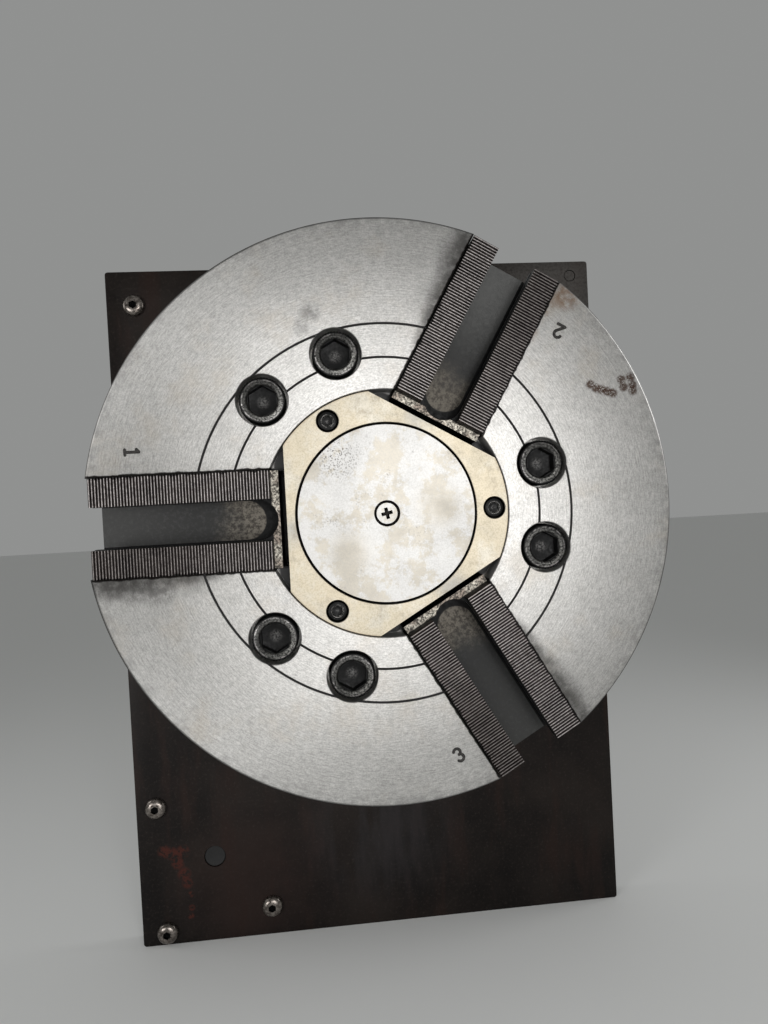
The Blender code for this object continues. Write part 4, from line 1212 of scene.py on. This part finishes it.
def button_head(node):
    """A button-head screw the size of its CAD node."""
    low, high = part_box(node)
    x, z, radius = middle(node)
    under = PLATE_FRONT - GAP
    flat = radius * BUTTON_FLAT
    dome = (under - low.y) * BUTTON_DOME
    outline = [(0, low.y), (flat, low.y)]
    for step in range(1, BUTTON_STEPS + 1):
        bend = math.pi / 2 * step / BUTTON_STEPS
        across = flat + (radius - flat) * math.sin(bend)
        outline.append((across, low.y + dome * (1 - math.cos(bend))))
    outline += [(radius, under), (BUTTON_SHANK, under), (BUTTON_SHANK, high.y), (0, high.y)]
    key = hexagon(BUTTON_KEY, low.y - PAST, low.y + BUTTON_KEY_DEPTH, BUTTON_POINT)
    head = piece(f"{node}_button", moved(turn(outline, MEDIUM), x, z), worn_steel)
    cut(head, moved(key, x, z))
    return seat(head, "headstock", "screw_steel", node)


worn_steel = screw_steel(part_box(PLATE_SCREWS[0])[0].y)
for name in PLATE_SCREWS:
    button_head(name)


def rubber_black():
    finish = Finish("plug_rubber", 0.0, 0.8)
    dust = finish.noise(1.2 * MM, 4.0, 0.7)
    finish.colour = finish.mix(dust, (0.003, 0.003, 0.0035), (0.014, 0.0135, 0.013))
    return finish.wear()


x, z, radius = middle("plate_plug")
low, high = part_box("plate_plug")
inner, outer = (radius * share for share in PLUG_RING)
dish = [(0, low.y + PLUG_DISH), (inner, low.y + PLUG_EDGE), (outer, low.y)]
dish += [(radius - PLUG_EDGE, low.y), (radius, low.y + PLUG_EDGE), (radius, high.y), (0, high.y)]
plug = settle(piece("plate_plug_moulded", moved(turn(dish, MEDIUM), x, z), rubber_black()))
seat(plug, "headstock", "plug_black", "plate_plug")

x, z, radius = middle("plate_dowel")
low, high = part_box("plate_dowel")
pin = [(0, low.y), (radius - PLUG_EDGE, low.y), (radius, low.y + PLUG_EDGE)]
pin += [(radius, high.y), (0, high.y)]
same_steel = plate.data.materials[0]
dowel = settle(piece("plate_dowel_ground", moved(turn(pin, MEDIUM), x, z), same_steel))
seat(dowel, "headstock", "plate_steel", "plate_dowel")

# %% [markdown]
# The stage is a pale floor and a pale surround, whose colour the camera and the metal's
# reflections see. A wide front lamp and a small key lamp stand behind the camera, a fill lamp
# stands to its left, and two rim lamps light the sides. The front and fill lamps' light is held to
# a cone, so that the floor under them doesn't turn white.

# %% Floor, light and surround
FLOOR_SIZE = 12.0
PALE = (0.28, 0.284, 0.28)
FLOOR_COLOUR = (0.74, 0.745, 0.735)
LAMPS_AIM = (0, -0.15, 0)
FRONT_SPREAD = math.radians(120)
FILL_SPREAD = math.radians(100)


def stage_floor():
    mesh = bmesh.new()
    bmesh.ops.create_grid(mesh, x_segments=1, y_segments=1, size=FLOOR_SIZE / 2)
    bmesh.ops.translate(mesh, verts=mesh.verts, vec=(0, 0, cad_low.z))
    piece("stage_floor", mesh, Finish("stage_pale", 0.0, 0.9, FLOOR_COLOUR).material)


def lamp(name, place, size, power, spread=math.pi):
    """A round area lamp of a size in metres and a power in watts, aimed at the chuck."""
    data = bpy.data.lights.new(name, "AREA")
    data.shape = "DISK"
    data.size = size
    data.energy = power
    data.spread = spread
    made = bpy.data.objects.new(name, data)
    made.location = place
    made.rotation_euler = (Vector(LAMPS_AIM) - Vector(place)).to_track_quat("-Z", "Y").to_euler()
    bpy.context.scene.collection.objects.link(made)


def surround():
    world = bpy.data.worlds.new("pale_surround")
    bpy.context.scene.world = world
    world.use_nodes = True
    background = world.node_tree.nodes["Background"]
    background.inputs["Color"].default_value = (*PALE, 1)
    background.inputs["Strength"].default_value = 1.0


stage_floor()
surround()
lamp("front", (0.09, -0.85, 0.0), 0.6, 1.0, FRONT_SPREAD)
lamp("key", (0.13, -0.85, 0.03), 0.1, 0.8)
lamp("fill", (-0.64, -0.77, -0.05), 0.4, 1.0, FILL_SPREAD)
lamp("right_rim", (0.80, 0.05, 0.30), 0.4, 1.4)
lamp("left_rim", (-0.80, 0.05, 0.30), 0.4, 0.7)
print("lamps:", ", ".join(f"{data.name} {round(data.energy, 2)} W" for data in bpy.data.lights))

# %% [markdown]
# The camera's place, direction and lens were solved from the photograph: the chuck's rim, its bolt
# circle and the plate's corners, all of known size, fix them. The camera stands 0.38 m before the
# chuck's face, slightly left of the spindle, and is turned a little to the right.

# %% The camera
CAMERA_FROM_FACE = Vector((-37.13 * MM, -377.88 * MM, 7.23 * MM))
LOOK = Vector((0.09344, 0.99548, -0.01701))
UP = Vector((0.05419, 0.01198, 0.99846))
SENSOR_MM = 36.0
LENS_MM = 25.95

camera_data = bpy.data.cameras.new("photo_camera")
camera_data.sensor_width = SENSOR_MM
camera_data.lens = LENS_MM
camera = bpy.data.objects.new("photo_camera", camera_data)
right = LOOK.cross(UP).normalized()
turned = Matrix((right, right.cross(LOOK), -LOOK)).transposed().to_4x4()
camera.matrix_world = Matrix.Translation(Vector((0, FACE, 0)) + CAMERA_FROM_FACE) @ turned
bpy.context.scene.collection.objects.link(camera)
bpy.context.scene.camera = camera
bpy.context.scene.view_settings.view_transform = "Standard"
print("camera at", [round(part, 3) for part in camera.matrix_world.translation])
